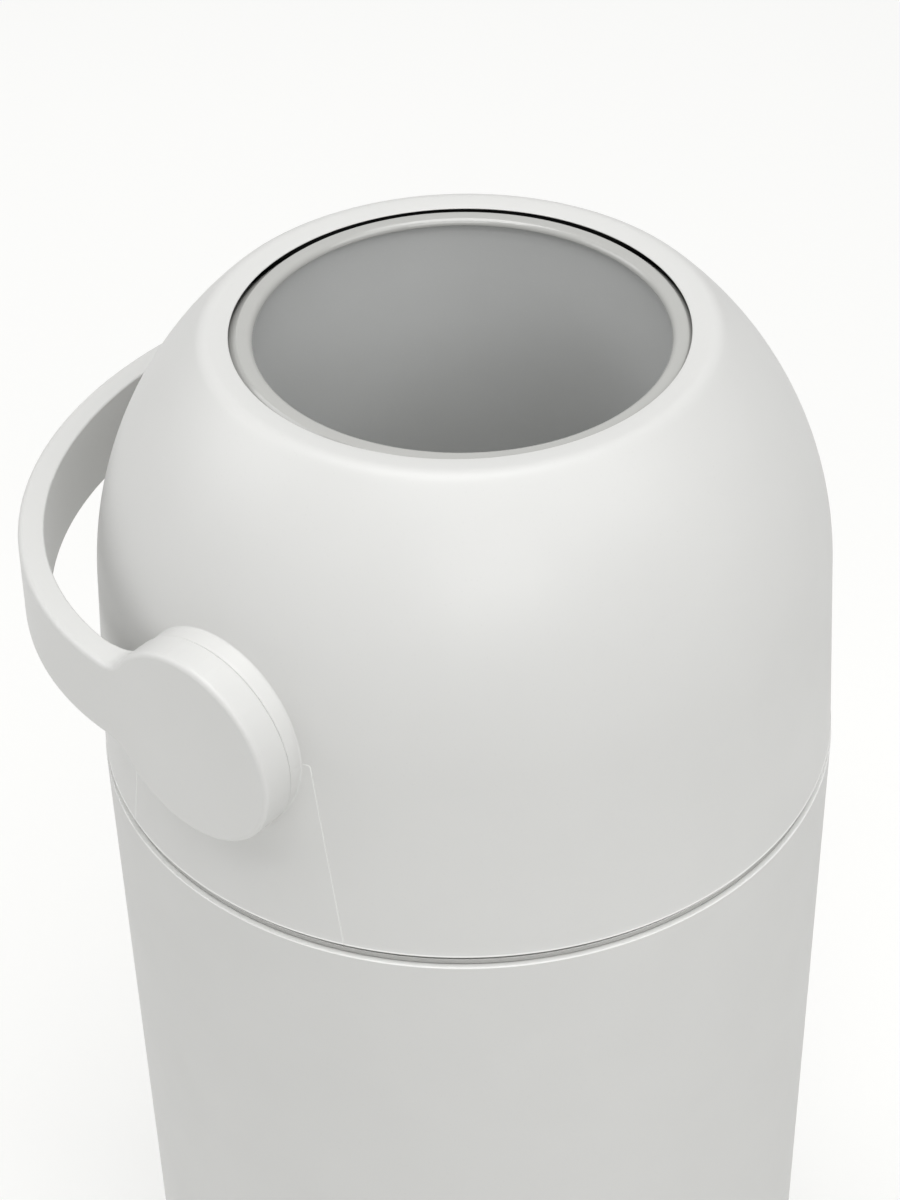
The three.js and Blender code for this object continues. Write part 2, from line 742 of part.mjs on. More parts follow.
// The handle as a bent plate: layers of the outline, each at its depth under the outer face
function handleBlank() {
  const hubThickness = handleFace - bossFace - seatGap;
  const { neckAlong } = handleOutline(0);
  const thicknessAt = (along) => THREE.MathUtils.lerp(hubThickness, bandThickness,
    THREE.MathUtils.smoothstep(along, neckAlong - neckFillet, neckAlong + neckFillet));
  const layers = [
    { inset: handleEdge, depth: () => 0 },
    { inset: handleEdge * (1 - Math.SQRT1_2), depth: () => handleEdge * (1 - Math.SQRT1_2) },
    { inset: 0, depth: () => handleEdge },
    { inset: 0, depth: (along) => thicknessAt(along) - handleInnerEdge },
    { inset: handleInnerEdge, depth: thicknessAt },
  ];
  const rings = layers.map(({ inset, depth }) => {
    const side = handleOutline(inset).outline.map(([along, half]) => {
      const { x, y, out } = bailAt(along);
      const down = depth(along);
      return { x: x - out.x * down, y: y - out.y * down, half };
    });
    const otherSide = side.slice(0, -1).reverse().map((point) => ({ ...point, x: -point.x }));
    return [...side, ...otherSide];
  });
  const vertices = [];
  const quad = (a, b, c, d) => vertices.push(...a, ...b, ...c, ...a, ...c, ...d);
  const corner = (point, sign) => [point.x, point.y, sign * Math.max(0, point.half)];
  const count = rings[0].length;
  for (let i = 0; i + 1 < count; i += 1) {
    const top = rings[0];
    const bottom = rings.at(-1);
    quad(corner(top[i], 1), corner(top[i], -1), corner(top[i + 1], -1), corner(top[i + 1], 1));
    quad(corner(bottom[i], -1), corner(bottom[i], 1), corner(bottom[i + 1], 1), corner(bottom[i + 1], -1));
    for (let k = 0; k + 1 < rings.length; k += 1) {
      const [upper, lower] = [rings[k], rings[k + 1]];
      quad(corner(lower[i], 1), corner(upper[i], 1), corner(upper[i + 1], 1), corner(lower[i + 1], 1));
      quad(corner(upper[i], -1), corner(lower[i], -1), corner(lower[i + 1], -1), corner(upper[i + 1], -1));
    }
  }
  const geometry = new THREE.BufferGeometry();
  geometry.setAttribute('position', new THREE.Float32BufferAttribute(vertices, 3));
  return solidOf(geometry);
}

// Handle with its keys into the axles and its stop lugs
const lugShape = shapeOf([
  ...arc(lugRadius + lugWidth / 2, -lugHalfAngle, lugHalfAngle, cornerSteps),
  ...arc(lugRadius - lugWidth / 2, lugHalfAngle, -lugHalfAngle, cornerSteps),
]);
const handleSeat = bossFace + seatGap + handleInnerEdge;
const lug = prismAlongX(lugShape, bossFace - lugDepth, handleSeat);
const key = prismAlongX(keyShape(keySide), socketFloor + seatGap, handleSeat);
const keyPilot = revolveAlongX([
  [0, socketFloor],
  [screwRadius + seatGap, socketFloor],
  [screwRadius + seatGap, screwSeat + axleScrewLength + seatGap],
  [0, screwSeat + axleScrewLength + seatGap],
], screwFacets);
const fixings = lug.add(key);
const handle = handleBlank()
  .add(fixings)
  .add(mirrored(fixings))
  .subtract(keyPilot)
  .subtract(mirrored(keyPilot));
place(grip, 'handle', handle, whiteShell);

// Piston: an open cup with a groove for its seal, closed by a cover
const pistonFloor = -(drumHalfLength - rimLip) + seatGap;
const pistonTop = pistonFloor + pistonHeight;
const pistonRadius = tubeRadius - runningGap - seatGap;
const grooveRadius = pistonRadius - sealGroove;
const grooveFoot = pistonFloor + pistonLand;
const coverSeat = pistonTop - pistonDish - coverThickness;
const pistonBody = revolve([
  [0, pistonFloor + pistonDish],
  [rimInner - pistonLand, pistonFloor + pistonDish],
  [rimInner - pistonLand + pistonDish, pistonFloor],
  [pistonRadius, pistonFloor],
  [pistonRadius, grooveFoot],
  [grooveRadius, grooveFoot],
  [grooveRadius, grooveFoot + sealWidth],
  [pistonRadius, grooveFoot + sealWidth],
  [pistonRadius, pistonTop],
  [grooveRadius - seatGap, pistonTop],
  [grooveRadius - seatGap, coverSeat - seatGap],
  [grooveRadius - pistonWall, coverSeat - seatGap],
  [grooveRadius - pistonWall, pistonFloor + pistonDish + pistonWall],
  [0, pistonFloor + pistonDish + pistonWall],
]);
place(drum, 'piston_body', pistonBody, innerGrey);

const coverRadius = grooveRadius - seatGap - seatGap;
place(drum, 'piston_cover', revolve([
  [0, coverSeat],
  [coverRadius, coverSeat],
  [coverRadius, pistonTop],
  [rimInner - pistonLand + pistonDish, pistonTop],
  [rimInner - pistonLand, coverSeat + coverThickness],
  [0, coverSeat + coverThickness],
]), innerGrey);

place(drum, 'piston_seal', revolve([
  [grooveRadius + seatGap, grooveFoot + seatGap],
  [pistonRadius, grooveFoot + seatGap],
  [tubeRadius - seatGap, grooveFoot + sealWidth / 2],
  [pistonRadius, grooveFoot + sealWidth - seatGap],
  [grooveRadius + seatGap, grooveFoot + sealWidth - seatGap],
]), darkRubber);

export default nappyBin;
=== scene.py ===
import math

import bmesh
import bpy
from mathutils import Matrix, Vector


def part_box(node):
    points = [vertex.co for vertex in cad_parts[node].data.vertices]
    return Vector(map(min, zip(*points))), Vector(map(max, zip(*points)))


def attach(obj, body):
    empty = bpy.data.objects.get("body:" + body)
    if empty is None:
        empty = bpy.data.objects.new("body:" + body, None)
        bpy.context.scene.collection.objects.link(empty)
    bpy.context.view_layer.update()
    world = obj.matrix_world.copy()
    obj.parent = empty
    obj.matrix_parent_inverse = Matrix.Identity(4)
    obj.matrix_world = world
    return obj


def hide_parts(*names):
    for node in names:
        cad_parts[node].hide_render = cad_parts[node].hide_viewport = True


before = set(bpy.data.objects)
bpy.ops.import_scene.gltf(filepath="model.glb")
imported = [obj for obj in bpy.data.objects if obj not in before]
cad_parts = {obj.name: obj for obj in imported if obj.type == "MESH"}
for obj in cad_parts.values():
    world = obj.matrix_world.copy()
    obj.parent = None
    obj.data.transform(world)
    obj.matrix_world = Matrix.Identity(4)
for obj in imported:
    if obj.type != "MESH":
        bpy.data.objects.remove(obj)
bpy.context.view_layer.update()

# Nappy bin: a fine version of each piece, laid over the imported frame.
# Sizes are in millimetres here, and are turned to metres when a piece is finished.

mm = 0.001
scene = bpy.context.scene
scene.view_settings.view_transform = "Standard"

seam = dict(height=457.0, radius=137.5)
pivotHeight = 73.585             # above the seam
drumTilt, handleRise = 0.7, 2.0  # degrees, as the bin stands in the photo

pivot = Vector((0, 0, seam["height"] + pivotHeight))
drumPlace = Matrix.Translation(pivot) @ Matrix.Rotation(math.radians(drumTilt), 4, "X")
gripPlace = Matrix.Translation(pivot) @ Matrix.Rotation(math.radians(handleRise), 4, "X")
lidPlace = Matrix.Translation((0, 0, seam["height"]))


# Materials

def linear(colour):
    parts = [int(colour[i:i + 2], 16) / 255 for i in (1, 3, 5)]
    return [c / 12.92 if c <= 0.04045 else ((c + 0.055) / 1.055) ** 2.4 for c in parts] + [1.0]


def addNode(tree, kind, links=None, **settings):
    node = tree.nodes.new(kind)
    for name, value in settings.items():
        if hasattr(node, name):
            setattr(node, name, value)
        else:
            node.inputs[name.replace("_", " ")].default_value = value
    for socket, source in (links or {}).items():
        tree.links.new(source, node.inputs[socket])
    return node


def moulded(name, base, shade, roughness, grain, relief, ior=1.5, spread=0.05, mottle=45.0, specks=None):
    # grain is the size of the texture's bumps in mm, relief their height in mm, mottle the size in mm
    # of the slow change in tone and gloss that a moulding has
    material = bpy.data.materials.new(name)
    material.use_nodes = True
    tree = material.node_tree
    tree.nodes.clear()
    where = addNode(tree, "ShaderNodeTexCoord").outputs["Object"]
    slow = addNode(tree, "ShaderNodeTexNoise", {"Vector": where}, Scale=1 / (mottle * mm), Detail=3.0,
                   Roughness=0.55)
    fine = addNode(tree, "ShaderNodeTexNoise", {"Vector": where}, Scale=1 / (grain * mm), Detail=2.0,
                   Roughness=0.6)
    tone = addNode(tree, "ShaderNodeMix", {"Factor": slow.outputs["Fac"]}, data_type="RGBA")
    tone.inputs["A"].default_value = linear(base)
    tone.inputs["B"].default_value = linear(shade)
    colour = tone.outputs["Result"]
    if specks:  # flecks of pigment: size is their spacing in mm, share their radius as a part of it
        dots = addNode(tree, "ShaderNodeTexVoronoi", {"Vector": where}, Scale=1 / (specks["size"] * mm))
        mask = addNode(tree, "ShaderNodeMapRange", {"Value": dots.outputs["Distance"]})
        mask.inputs["From Min"].default_value = specks["share"]
        mask.inputs["From Max"].default_value = 0.0
        mask.inputs["To Max"].default_value = specks["strength"]
        fleck = addNode(tree, "ShaderNodeMix", {"Factor": mask.outputs["Result"], "A": colour},
                        data_type="RGBA")
        fleck.inputs["B"].default_value = linear(specks["colour"])
        colour = fleck.outputs["Result"]
    gloss = addNode(tree, "ShaderNodeMapRange", {"Value": slow.outputs["Fac"]})
    gloss.inputs["To Min"].default_value = roughness - spread
    gloss.inputs["To Max"].default_value = roughness + spread
    bump = addNode(tree, "ShaderNodeBump", {"Height": fine.outputs["Fac"]}, Strength=1.0,
                   Distance=relief * mm)
    shader = addNode(tree, "ShaderNodeBsdfPrincipled", {
        "Base Color": colour, "Roughness": gloss.outputs["Result"], "Normal": bump.outputs["Normal"]},
        IOR=ior)
    addNode(tree, "ShaderNodeOutputMaterial", {"Surface": shader.outputs["BSDF"]})
    return material


# Injection-moulded ABS with a satin spark finish: a broad soft highlight, barely visible grain. The grain is
# about 0.1 mm on the real lid, too fine to show, so it is drawn at 0.8 mm
whiteAbs = moulded("satinWhiteAbs", "#cfcfcd", "#cbcbc9", 0.40, 0.8, 0.006, ior=1.53,
                   specks=dict(size=2.4, share=0.16, strength=0.35, colour="#c2c2bf"))
# Polypropylene, blow smooth and a little duller and greyer than the lid
whitePolypropylene = moulded("satinWhitePolypropylene", "#cdcdcb", "#c9c9c7", 0.46, 0.9, 0.006, ior=1.49,
                             specks=dict(size=2.6, share=0.16, strength=0.35, colour="#bfbfbc"))
# Pale grey ABS of the rim rings and the bag ring, from a polished tool: clear reflections. They are
# brighter than plain ABS gives, so its IOR is raised
paleGreyAbs = moulded("paleGreyAbs", "#b0b0ad", "#acaca9", 0.14, 0.8, 0.002, ior=1.7, spread=0.03)
# Painted highlight: a pale, glossy finish laid on the outer edges of the mouldings, which draws bright lines
# at seam and slot
paintedHighlightEdge = moulded("paintedHighlightEdge", "#e9e9e7", "#e4e4e2", 0.22, 0.8, 0.002, ior=1.53)
# Grey ABS of the cup's wall, spark-eroded so that it doesn't shine: no clear reflections, visible fine grain
sparkGreyAbs = moulded("sparkErodedGreyAbs", "#bdbebd", "#b7b8b7", 0.62, 0.7, 0.02, ior=1.53,
                       specks=dict(size=1.5, share=0.22, strength=0.4, colour="#c6c7c6"))
# Unpigmented grey polypropylene of the hidden mouldings
innerPolypropylene = moulded("greyPolypropylene", "#b9b9b6", "#b1b1ae", 0.52, 1.0, 0.012, ior=1.49)
# Soft black thermoplastic rubber, dull, darkened beyond rubber's own black as painted shade, so that the gap
# round the drum looks deep
sealRubberPaintedShade = moulded("blackSealRubberPaintedShade", "#0d0d0d", "#121212", 0.9, 0.9, 0.02, ior=1.45)
# Grey thermoplastic rubber of the base pad, dull with a faint dusty bloom
padRubber = moulded("greyPadRubber", "#6d6d6b", "#767673", 0.85, 1.1, 0.03, ior=1.5)


def zincPlated():
    # Zinc-plated steel: metallic, with a slight uneven haze
    material = bpy.data.materials.new("zincPlatedSteel")
    material.use_nodes = True
    tree = material.node_tree
    tree.nodes.clear()
    where = addNode(tree, "ShaderNodeTexCoord").outputs["Object"]
    haze = addNode(tree, "ShaderNodeTexNoise", {"Vector": where}, Scale=1 / (2.0 * mm), Detail=2.0)
    tone = addNode(tree, "ShaderNodeMix", {"Factor": haze.outputs["Fac"]}, data_type="RGBA")
    tone.inputs["A"].default_value = linear("#c4c7ca")
    tone.inputs["B"].default_value = linear("#b2b5b3")
    gloss = addNode(tree, "ShaderNodeMapRange", {"Value": haze.outputs["Fac"]})
    gloss.inputs["To Min"].default_value = 0.22
    gloss.inputs["To Max"].default_value = 0.4
    shader = addNode(tree, "ShaderNodeBsdfPrincipled", {
        "Base Color": tone.outputs["Result"], "Roughness": gloss.outputs["Result"]}, Metallic=1.0)
    addNode(tree, "ShaderNodeOutputMaterial", {"Surface": shader.outputs["BSDF"]})
    return material


zincSteel = zincPlated()
print("materials made:", len(bpy.data.materials))


# Modelling helpers

def arc(radius, start, end, steps, centre=(0.0, 0.0)):
    angles = [math.radians(start + (end - start) * i / steps) for i in range(steps + 1)]
    return [(centre[0] + radius * math.cos(a), centre[1] + radius * math.sin(a)) for a in angles]


def outlineOf(corners, steps=6, closed=True):
    # corners are (r, z) or (r, z, rounding); a rounding becomes an arc that is tangent to both sides
    points = []
    for i, corner in enumerate(corners):
        at = Vector(corner[:2])
        rounding = corner[2] if len(corner) > 2 else 0
        if not rounding or (not closed and i in (0, len(corners) - 1)):
            points.append(tuple(at))
            continue
        before = (Vector(corners[i - 1][:2]) - at).normalized()
        after = (Vector(corners[(i + 1) % len(corners)][:2]) - at).normalized()
        half = before.angle(after) / 2
        centre = at + (before + after).normalized() * rounding / math.sin(half)
        start = at + before * rounding / math.tan(half) - centre
        end = at + after * rounding / math.tan(half) - centre
        first = math.atan2(start.y, start.x)
        turn = (math.atan2(end.y, end.x) - first + math.pi) % (2 * math.pi) - math.pi
        for k in range(steps + 1):
            a = first + turn * k / steps
            points.append((centre.x + rounding * math.cos(a), centre.y + rounding * math.sin(a)))
    return points


def spun(outline, steps=192, closed=True):
    # a ring or a round block about Z; an outline that starts and ends on the axis is left open there
    bm = bmesh.new()
    line = [bm.verts.new((r, 0, z)) for r, z in outline]
    following = line[1:] + (line[:1] if closed else [])
    edges = [bm.edges.new(pair) for pair in zip(line, following)]
    bmesh.ops.spin(bm, geom=line + edges, cent=(0, 0, 0), axis=(0, 0, 1), dvec=(0, 0, 0),
                   angle=2 * math.pi, steps=steps, use_merge=True, use_duplicate=False)
    bmesh.ops.remove_doubles(bm, verts=bm.verts, dist=1e-4)
    bmesh.ops.recalc_face_normals(bm, faces=bm.faces)
    return bm


def allOf(bm):
    return bm.verts[:] + bm.edges[:] + bm.faces[:]


def moved(bm, place):
    bmesh.ops.transform(bm, matrix=place, verts=bm.verts)
    return bm


def joined(*parts):
    # several separate mouldings of one piece in one mesh
    whole = bmesh.new()
    for part in parts:
        kept = bpy.data.meshes.new("part")
        part.to_mesh(kept)
        part.free()
        whole.from_mesh(kept)
        bpy.data.meshes.remove(kept)
    return whole


def inMetres(bm, sharp=40.0):
    # scales to metres, and shades smooth with creases at sharp edges
    bmesh.ops.scale(bm, vec=(mm, mm, mm), verts=bm.verts)
    for face in bm.faces:
        face.smooth = True
    for edge in bm.edges:
        edge.smooth = not (len(edge.link_faces) == 2 and edge.calc_face_angle(0) > math.radians(sharp))


def finished(bm, name, body, material, replaces=(), sharp=40.0):
    # makes the piece, and hands it to its body
    inMetres(bm, sharp)
    mesh = bpy.data.meshes.new(name)
    bm.to_mesh(mesh)
    bm.free()
    mesh.materials.append(material)
    piece = bpy.data.objects.new(name, mesh)
    scene.collection.objects.link(piece)
    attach(piece, body)
    if replaces:
        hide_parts(*replaces)
    return piece


def applied(piece):
    # the piece's modifiers become its mesh
    shown = piece.evaluated_get(bpy.context.evaluated_depsgraph_get())
    mesh = bpy.data.meshes.new_from_object(shown)
    old = piece.data
    piece.modifiers.clear()
    piece.data = mesh
    bpy.data.meshes.remove(old)
    return piece


def cutAway(piece, bm, crossing=False):
    # takes a shape, in mm, out of a finished piece; crossing is for a shape of parts that cross each other
    bmesh.ops.scale(bm, vec=(mm, mm, mm), verts=bm.verts)
    tool = bpy.data.objects.new("tool", bpy.data.meshes.new("tool"))
    bm.to_mesh(tool.data)
    bm.free()
    scene.collection.objects.link(tool)
    cut = piece.modifiers.new("cut", "BOOLEAN")
    cut.operation, cut.object, cut.solver, cut.use_self = "DIFFERENCE", tool, "EXACT", crossing
    applied(piece)
    bpy.data.objects.remove(tool)


# How far the painted highlight on the edges reaches, in mm: from this radius on the body's rim, under the top
# of the bag ring's lip, and above the lid's lower edge
highlightReach = dict(rimFrom=135.5, lip=0.1, lidEdge=0.6)


def paintEdgeHighlight(piece, chosen):
    # the faces that a test picks by their middle, in mm, get the painted highlight's pale finish
    piece.data.materials.append(paintedHighlightEdge)
    for polygon in piece.data.polygons:
        if chosen(polygon.center / mm):
            polygon.material_index = len(piece.data.materials) - 1


# Camera, as fitted to the photo's circles: lens, sensor, distance from the bin's middle and height above
# the seam in mm, azimuth in degrees, and how it is turned in radians
view = dict(lens=83.43, sensor=36.0, distance=809.0, height=680.7, azimuth=-49.6, yaw=-0.00705, pitch=0.66383,
            roll=-0.02494)


def addCamera():
    ahead = Vector((math.sin(view["yaw"]) * math.cos(view["pitch"]),
                    math.cos(view["yaw"]) * math.cos(view["pitch"]), -math.sin(view["pitch"])))
    right = ahead.cross(Vector((0, 0, 1))).normalized()
    up = right.cross(ahead)
    right, up = (right * math.cos(view["roll"]) + up * math.sin(view["roll"]),
                 up * math.cos(view["roll"]) - right * math.sin(view["roll"]))
    turned = Matrix.Rotation(math.radians(view["azimuth"]), 4, "Z")
    place = Matrix.Translation((0, -view["distance"] * mm, (view["height"] + seam["height"]) * mm))
    axes = Matrix((right, up, -ahead)).transposed().to_4x4()
    camera = bpy.data.objects.new("camera", bpy.data.cameras.new("camera"))
    camera.data.lens = view["lens"]
    camera.data.sensor_width = view["sensor"]
    camera.data.clip_start = 0.01
    camera.matrix_world = turned @ place @ axes
    scene.collection.objects.link(camera)
    scene.camera = camera


addCamera()

# Body shell: straight wall, rounded rim and foot
body = dict(baseRadius=135.5, wall=2.8, rimTop=452.35, rimRound=0.45, rimInnerRound=0.8, foot=1.0,
            footRound=7.0, padRoom=116.3, padRoomRound=0.4, padTop=3.3, floorTop=6.3, innerRound=4.2)


def makeBody():
    inner = seam["radius"] - body["wall"]
    innerBase = body["baseRadius"] - body["wall"]
    outline = outlineOf([
        (0, body["padTop"]), (body["padRoom"], body["padTop"]),
        (body["padRoom"], body["foot"], body["padRoomRound"]),
        (body["baseRadius"], body["foot"], body["footRound"]),
        (seam["radius"], body["rimTop"], body["rimRound"]), (inner, body["rimTop"], body["rimInnerRound"]),
        (innerBase, body["floorTop"], body["innerRound"]), (0, body["floorTop"])], steps=8, closed=False)
    piece = finished(spun(outline, 256, closed=False), "bodyShell", "bin", whitePolypropylene,
                     ["body_shell"])
    # painted highlight on the outer rounding of the body's rim
    paintEdgeHighlight(piece, lambda c: c.xy.length > highlightReach["rimFrom"] and c.z > body["rimTop"] - body["rimRound"])


# Base pad: moulded rubber with shallow rings underneath that grip the floor
pad = dict(radius=116.0, thickness=3.0, edge=0.8, topRound=0.3, grooves=(30.0, 50.0, 70.0, 90.0, 106.0),
           grooveWidth=3.0, grooveDepth=0.9, grooveSlope=0.4, grooveRound=0.3)


def makePad():
    deep, slope, soft = pad["grooveDepth"], pad["grooveSlope"], pad["grooveRound"]
    half = pad["grooveWidth"] / 2
    corners = [(0, 0)]
    for r in pad["grooves"]:
        corners += [(r - half, 0, soft), (r - half + slope, deep, soft), (r + half - slope, deep, soft),
                    (r + half, 0, soft)]
    corners += [(pad["radius"], 0, pad["edge"]), (pad["radius"], pad["thickness"], pad["topRound"]),
                (0, pad["thickness"])]
    bm = spun(outlineOf(corners, steps=3, closed=False), 192, closed=False)
    finished(bm, "basePad", "bin", padRubber, ["base_pad"])


# Bag ring: the band in the seam, with a groove that is the dark line under the lid's edge, and the collar
# that the bag is folded over
bagRing = dict(bottom=452.6, top=456.6, outer=135.6, lipTop=454.45, lipInner=135.05, grooveFoot=453.3,
               grooveInner=132.6, collarOuter=128.5, collarInner=126.0, collarFoot=422.9, rootRound=0.6,
               seatRound=0.2, lipRound=0.25, grooveRound=0.1, topRound=0.3, mouthRound=1.6, collarRound=0.8)


def makeBagRing():
    b = bagRing
    fine = b["grooveRound"]
    outline = outlineOf([
        (b["collarOuter"], b["bottom"], b["rootRound"]), (b["outer"], b["bottom"], b["seatRound"]),
        (b["outer"], b["lipTop"], b["lipRound"]), (b["lipInner"], b["lipTop"], fine),
        (b["lipInner"], b["grooveFoot"], fine), (b["grooveInner"], b["grooveFoot"], fine),
        (b["grooveInner"], b["top"], b["topRound"]), (b["collarInner"], b["top"], b["mouthRound"]),
        (b["collarInner"], b["collarFoot"], b["collarRound"]),
        (b["collarOuter"], b["collarFoot"], b["collarRound"])], steps=5)
    piece = finished(spun(outline, 256), "bagRing", "bin", paleGreyAbs, ["bag_ring"])
    # painted highlight on the top of the bag ring's lip
    paintEdgeHighlight(piece, lambda c: c.xy.length > b["lipInner"] and c.z > b["lipTop"] - highlightReach["lip"])


makeBody()
makePad()
makeBagRing()
print("body, base pad and bag ring made")

# Lid: a dome skin whose wall leans in by lean degrees, then an arc, then the band round the opening. It
# starts seat inside the seam's radius. The two shares say how near the arc's points come to the crest's
# rounding, and how far the opening's edge runs down, as parts of their roundings
dome = dict(lean=3.5, seat=0.5, flare=0.15, flareFrom=0.3, flareTo=0.65, centreRadius=-3.81,
            centreHeight=67.9, radius=136.9, crestRadius=89.0, openingRadius=79.5, bandDip=7.0,
            crestRound=6.75, crestShare=0.55, edgeRound=0.35, edgeShare=1.1, edgeWall=0.3, edgeReach=7.0)

# A slot under each pivot, which a cover closes. Both its edges are rounded over by edgeRound, which catches
# the light as a fine line, made brighter by the painted highlight on these edges; cutShares are the parts of
# it where the skin is cut. The slots are on the sides, beyond sideFrom from the middle
slotShape = dict(top=75.4, halfTop=39.5, halfFoot=50.5, corner=1.2, cornerCuts=4, gap=0.03, edgeRound=0.25,
                 cutShares=(0.0, 0.35, 1.0), edgeDrop=0.1, sideFrom=60.0, wall=3.0)


def wallEnds():
    # the wall is straight from seat inside the seam's radius to where the dome's arc starts
    lean = math.radians(dome["lean"])
    foot = Vector((seam["radius"] - dome["seat"], 0.0))
    return foot, Vector((dome["centreRadius"] + dome["radius"] * math.cos(lean),
                         dome["centreHeight"] + dome["radius"] * math.sin(lean)))


def domeRadiusAt(z):
    # radius of the lid's outside at a height above the seam
    foot, top = wallEnds()
    if z < top.y:
        return foot.x + (top.x - foot.x) * z / top.y
    return dome["centreRadius"] + math.sqrt(dome["radius"] ** 2 - (z - dome["centreHeight"]) ** 2)


def domeX(y, z):
    return math.sqrt(max(domeRadiusAt(z) ** 2 - y * y, 0.0))


def domeOutline():
    # the outside from the lower edge to just under the opening, finer where it turns faster
    centre = (dome["centreRadius"], dome["centreHeight"])
    crestAngle = math.degrees(math.acos((dome["crestRadius"] - centre[0]) / dome["radius"]))
    skin = arc(dome["radius"], dome["lean"], crestAngle, 48, centre)
    crest = Vector(skin[-1])
    dip = math.tan(math.radians(dome["bandDip"]))
    openingEdge = (dome["openingRadius"], crest.y - (crest.x - dome["openingRadius"]) * dip)
    lastFree = [p for p in skin if (Vector(p) - crest).length > dome["crestRound"] * dome["crestShare"]]
    wall = [(domeRadiusAt(z), z) for z in (0.0, dome["flareFrom"], dome["flareTo"])]
    steps = 24
    rise = [(domeRadiusAt(z), z) for z in [skin[0][1] * i / steps for i in range(1, steps)]]
    corners = wall + rise + lastFree + [
        (crest.x, crest.y, dome["crestRound"]), (*openingEdge, dome["edgeRound"]),
        (openingEdge[0], openingEdge[1] - dome["edgeRound"] * dome["edgeShare"])]
    return outlineOf(corners, steps=7, closed=False)


def slotLines():
    # each straight piece of the slot's outline in the YZ plane, as (point, outward normal), for y > 0; the
    # other half mirrors it
    s = slotShape
    side = Vector((s["halfFoot"] - s["halfTop"], -s["top"])).normalized()
    sideNormal = Vector((-side.y, side.x))
    corner = Vector((s["halfTop"], s["top"]))
    lines = [(corner, Vector((0.0, 1.0))), (corner, sideNormal)]
    turn = math.acos(sideNormal.y)
    half = (math.pi - turn) / 2
    centre = corner + (Vector((-1, 0)) + side).normalized() * s["corner"] / math.sin(half)
    for i in range(1, s["cornerCuts"]):
        a = math.pi / 2 - turn * i / s["cornerCuts"]
        normal = Vector((math.cos(a), math.sin(a)))
        lines.append((centre + normal * s["corner"], normal))
    return lines


def slotDistance(y, z, lines):
    # how far a point lies outside the slot's outline, less than 0 inside it
    return max((Vector((abs(y), z)) - point).dot(normal) for point, normal in lines)


def makeDomeSkin():
    # the whole skin, cut along the slot's outline and along the start and middle of its rounded edges
    bm = spun(domeOutline(), 288, closed=False)
    lines = slotLines()
    s = slotShape
    reach = 4.0  # only faces this near to the outline are cut

    def isNear(c, at, normal, mirror):
        off = (c.y * mirror - at.x) * normal.x + (c.z - at.y) * normal.y
        return abs(off) < reach and c.y * mirror > -reach / 2 and abs(slotDistance(c.y, c.z, lines)) < reach

    cuts = [(point + normal * sign * (s["gap"] / 2 + s["edgeRound"] * share), normal, mirror)
            for share in s["cutShares"] for sign in (1, -1) for point, normal in lines for mirror in (1, -1)]
    for at, normal, mirror in cuts:
        near = [f for f in bm.faces if isNear(f.calc_center_median(), at, normal, mirror)]
        geom = list({v for f in near for v in f.verts}) + list({e for f in near for e in f.edges}) + near
        bmesh.ops.bisect_plane(bm, geom=geom, dist=1e-4, plane_co=(0, at.x * mirror, at.y),
                               plane_no=(0, normal.x * mirror, normal.y))
    return bm


def shellOf(skin, keep, side):
    # the faces of the skin that a test keeps, with the slot's edge rounded over
    bm = skin.copy()
    lines = slotLines()
    s = slotShape
    drop = [f for f in bm.faces if not keep(f.calc_center_median(), lines)]
    bmesh.ops.delete(bm, geom=drop, context="FACES")
    bmesh.ops.recalc_face_normals(bm, faces=bm.faces)
    inside = Vector((0, 0, 60))
    outward = sum(f.normal.dot(f.calc_center_median() - inside) > 0 for f in bm.faces)
    if outward < len(bm.faces) / 2:
        bmesh.ops.reverse_faces(bm, faces=bm.faces)
    bm.normal_update()
    slack = 0.02  # mm outside the cut, and as a part of edgeRound at its end
    shifts = []
    for v in bm.verts:
        d = slotDistance(v.co.y, v.co.z, lines) * side - s["gap"] / 2
        if -slack < d < s["edgeRound"] * (1 - slack):
            share = 1 - max(d, 0.0) / s["edgeRound"]
            shifts.append((v, v.normal * s["edgeDrop"] * (1 - math.sqrt(max(1 - share * share, 0.0)))))
    for v, shift in shifts:
        v.co -= shift
    return bm


# Boss: the disc's seat. It stands out of the dome above the pivot; below it the wall is faced off to the same
# plane. Its fillet is a list of (out from the hub, out from the dome)
bossShape = dict(hub=36.2, face=133.0, bore=17.3, edge=0.4, room=37.1, roomDepth=20.0, sunk=0.3, depth=1.8,
                 fillet=((0.0, 0.7), (0.04, 0.4), (0.15, 0.17), (0.35, 0.04), (0.7, -0.12)),
                 footOut=0.5, footIn=4.0, footDepth=1.6)


def makeBoss():
    # its foot follows the dome and runs into it with a small fillet
    b = bossShape
    hub, face, bore, edge = b["hub"], b["face"], b["bore"], b["edge"]
    above = [(bore, face - edge), (bore + edge, face)] + arc(edge, 90, 0, 4, (hub - edge, face - edge))
    fillet = [(hub + out, height) for out, height in b["fillet"]]
    inside = [(hub + b["footOut"], -b["footDepth"]), (hub - b["footIn"], -b["depth"]), (bore, -b["depth"])]
    below = 500.0  # marks the points whose height counts from the dome
    bm = spun(above + [(r, h - below) for r, h in fillet + inside], 160)
    for v in bm.verts:
        r = math.hypot(v.co.x, v.co.y)
        along = v.co.z
        y, z = v.co.y, v.co.x
        if along < 0:  # where the dome lies further out than the face, the foot stays under the face's edge
            underShare = 1.2 if r > hub - 1 else 2.0
            along = min(domeX(y, z + pivotHeight) + along + below, face - edge * underShare)
        v.co = Vector((along, y, z + pivotHeight))
    bmesh.ops.recalc_face_normals(bm, faces=bm.faces)
    return bm


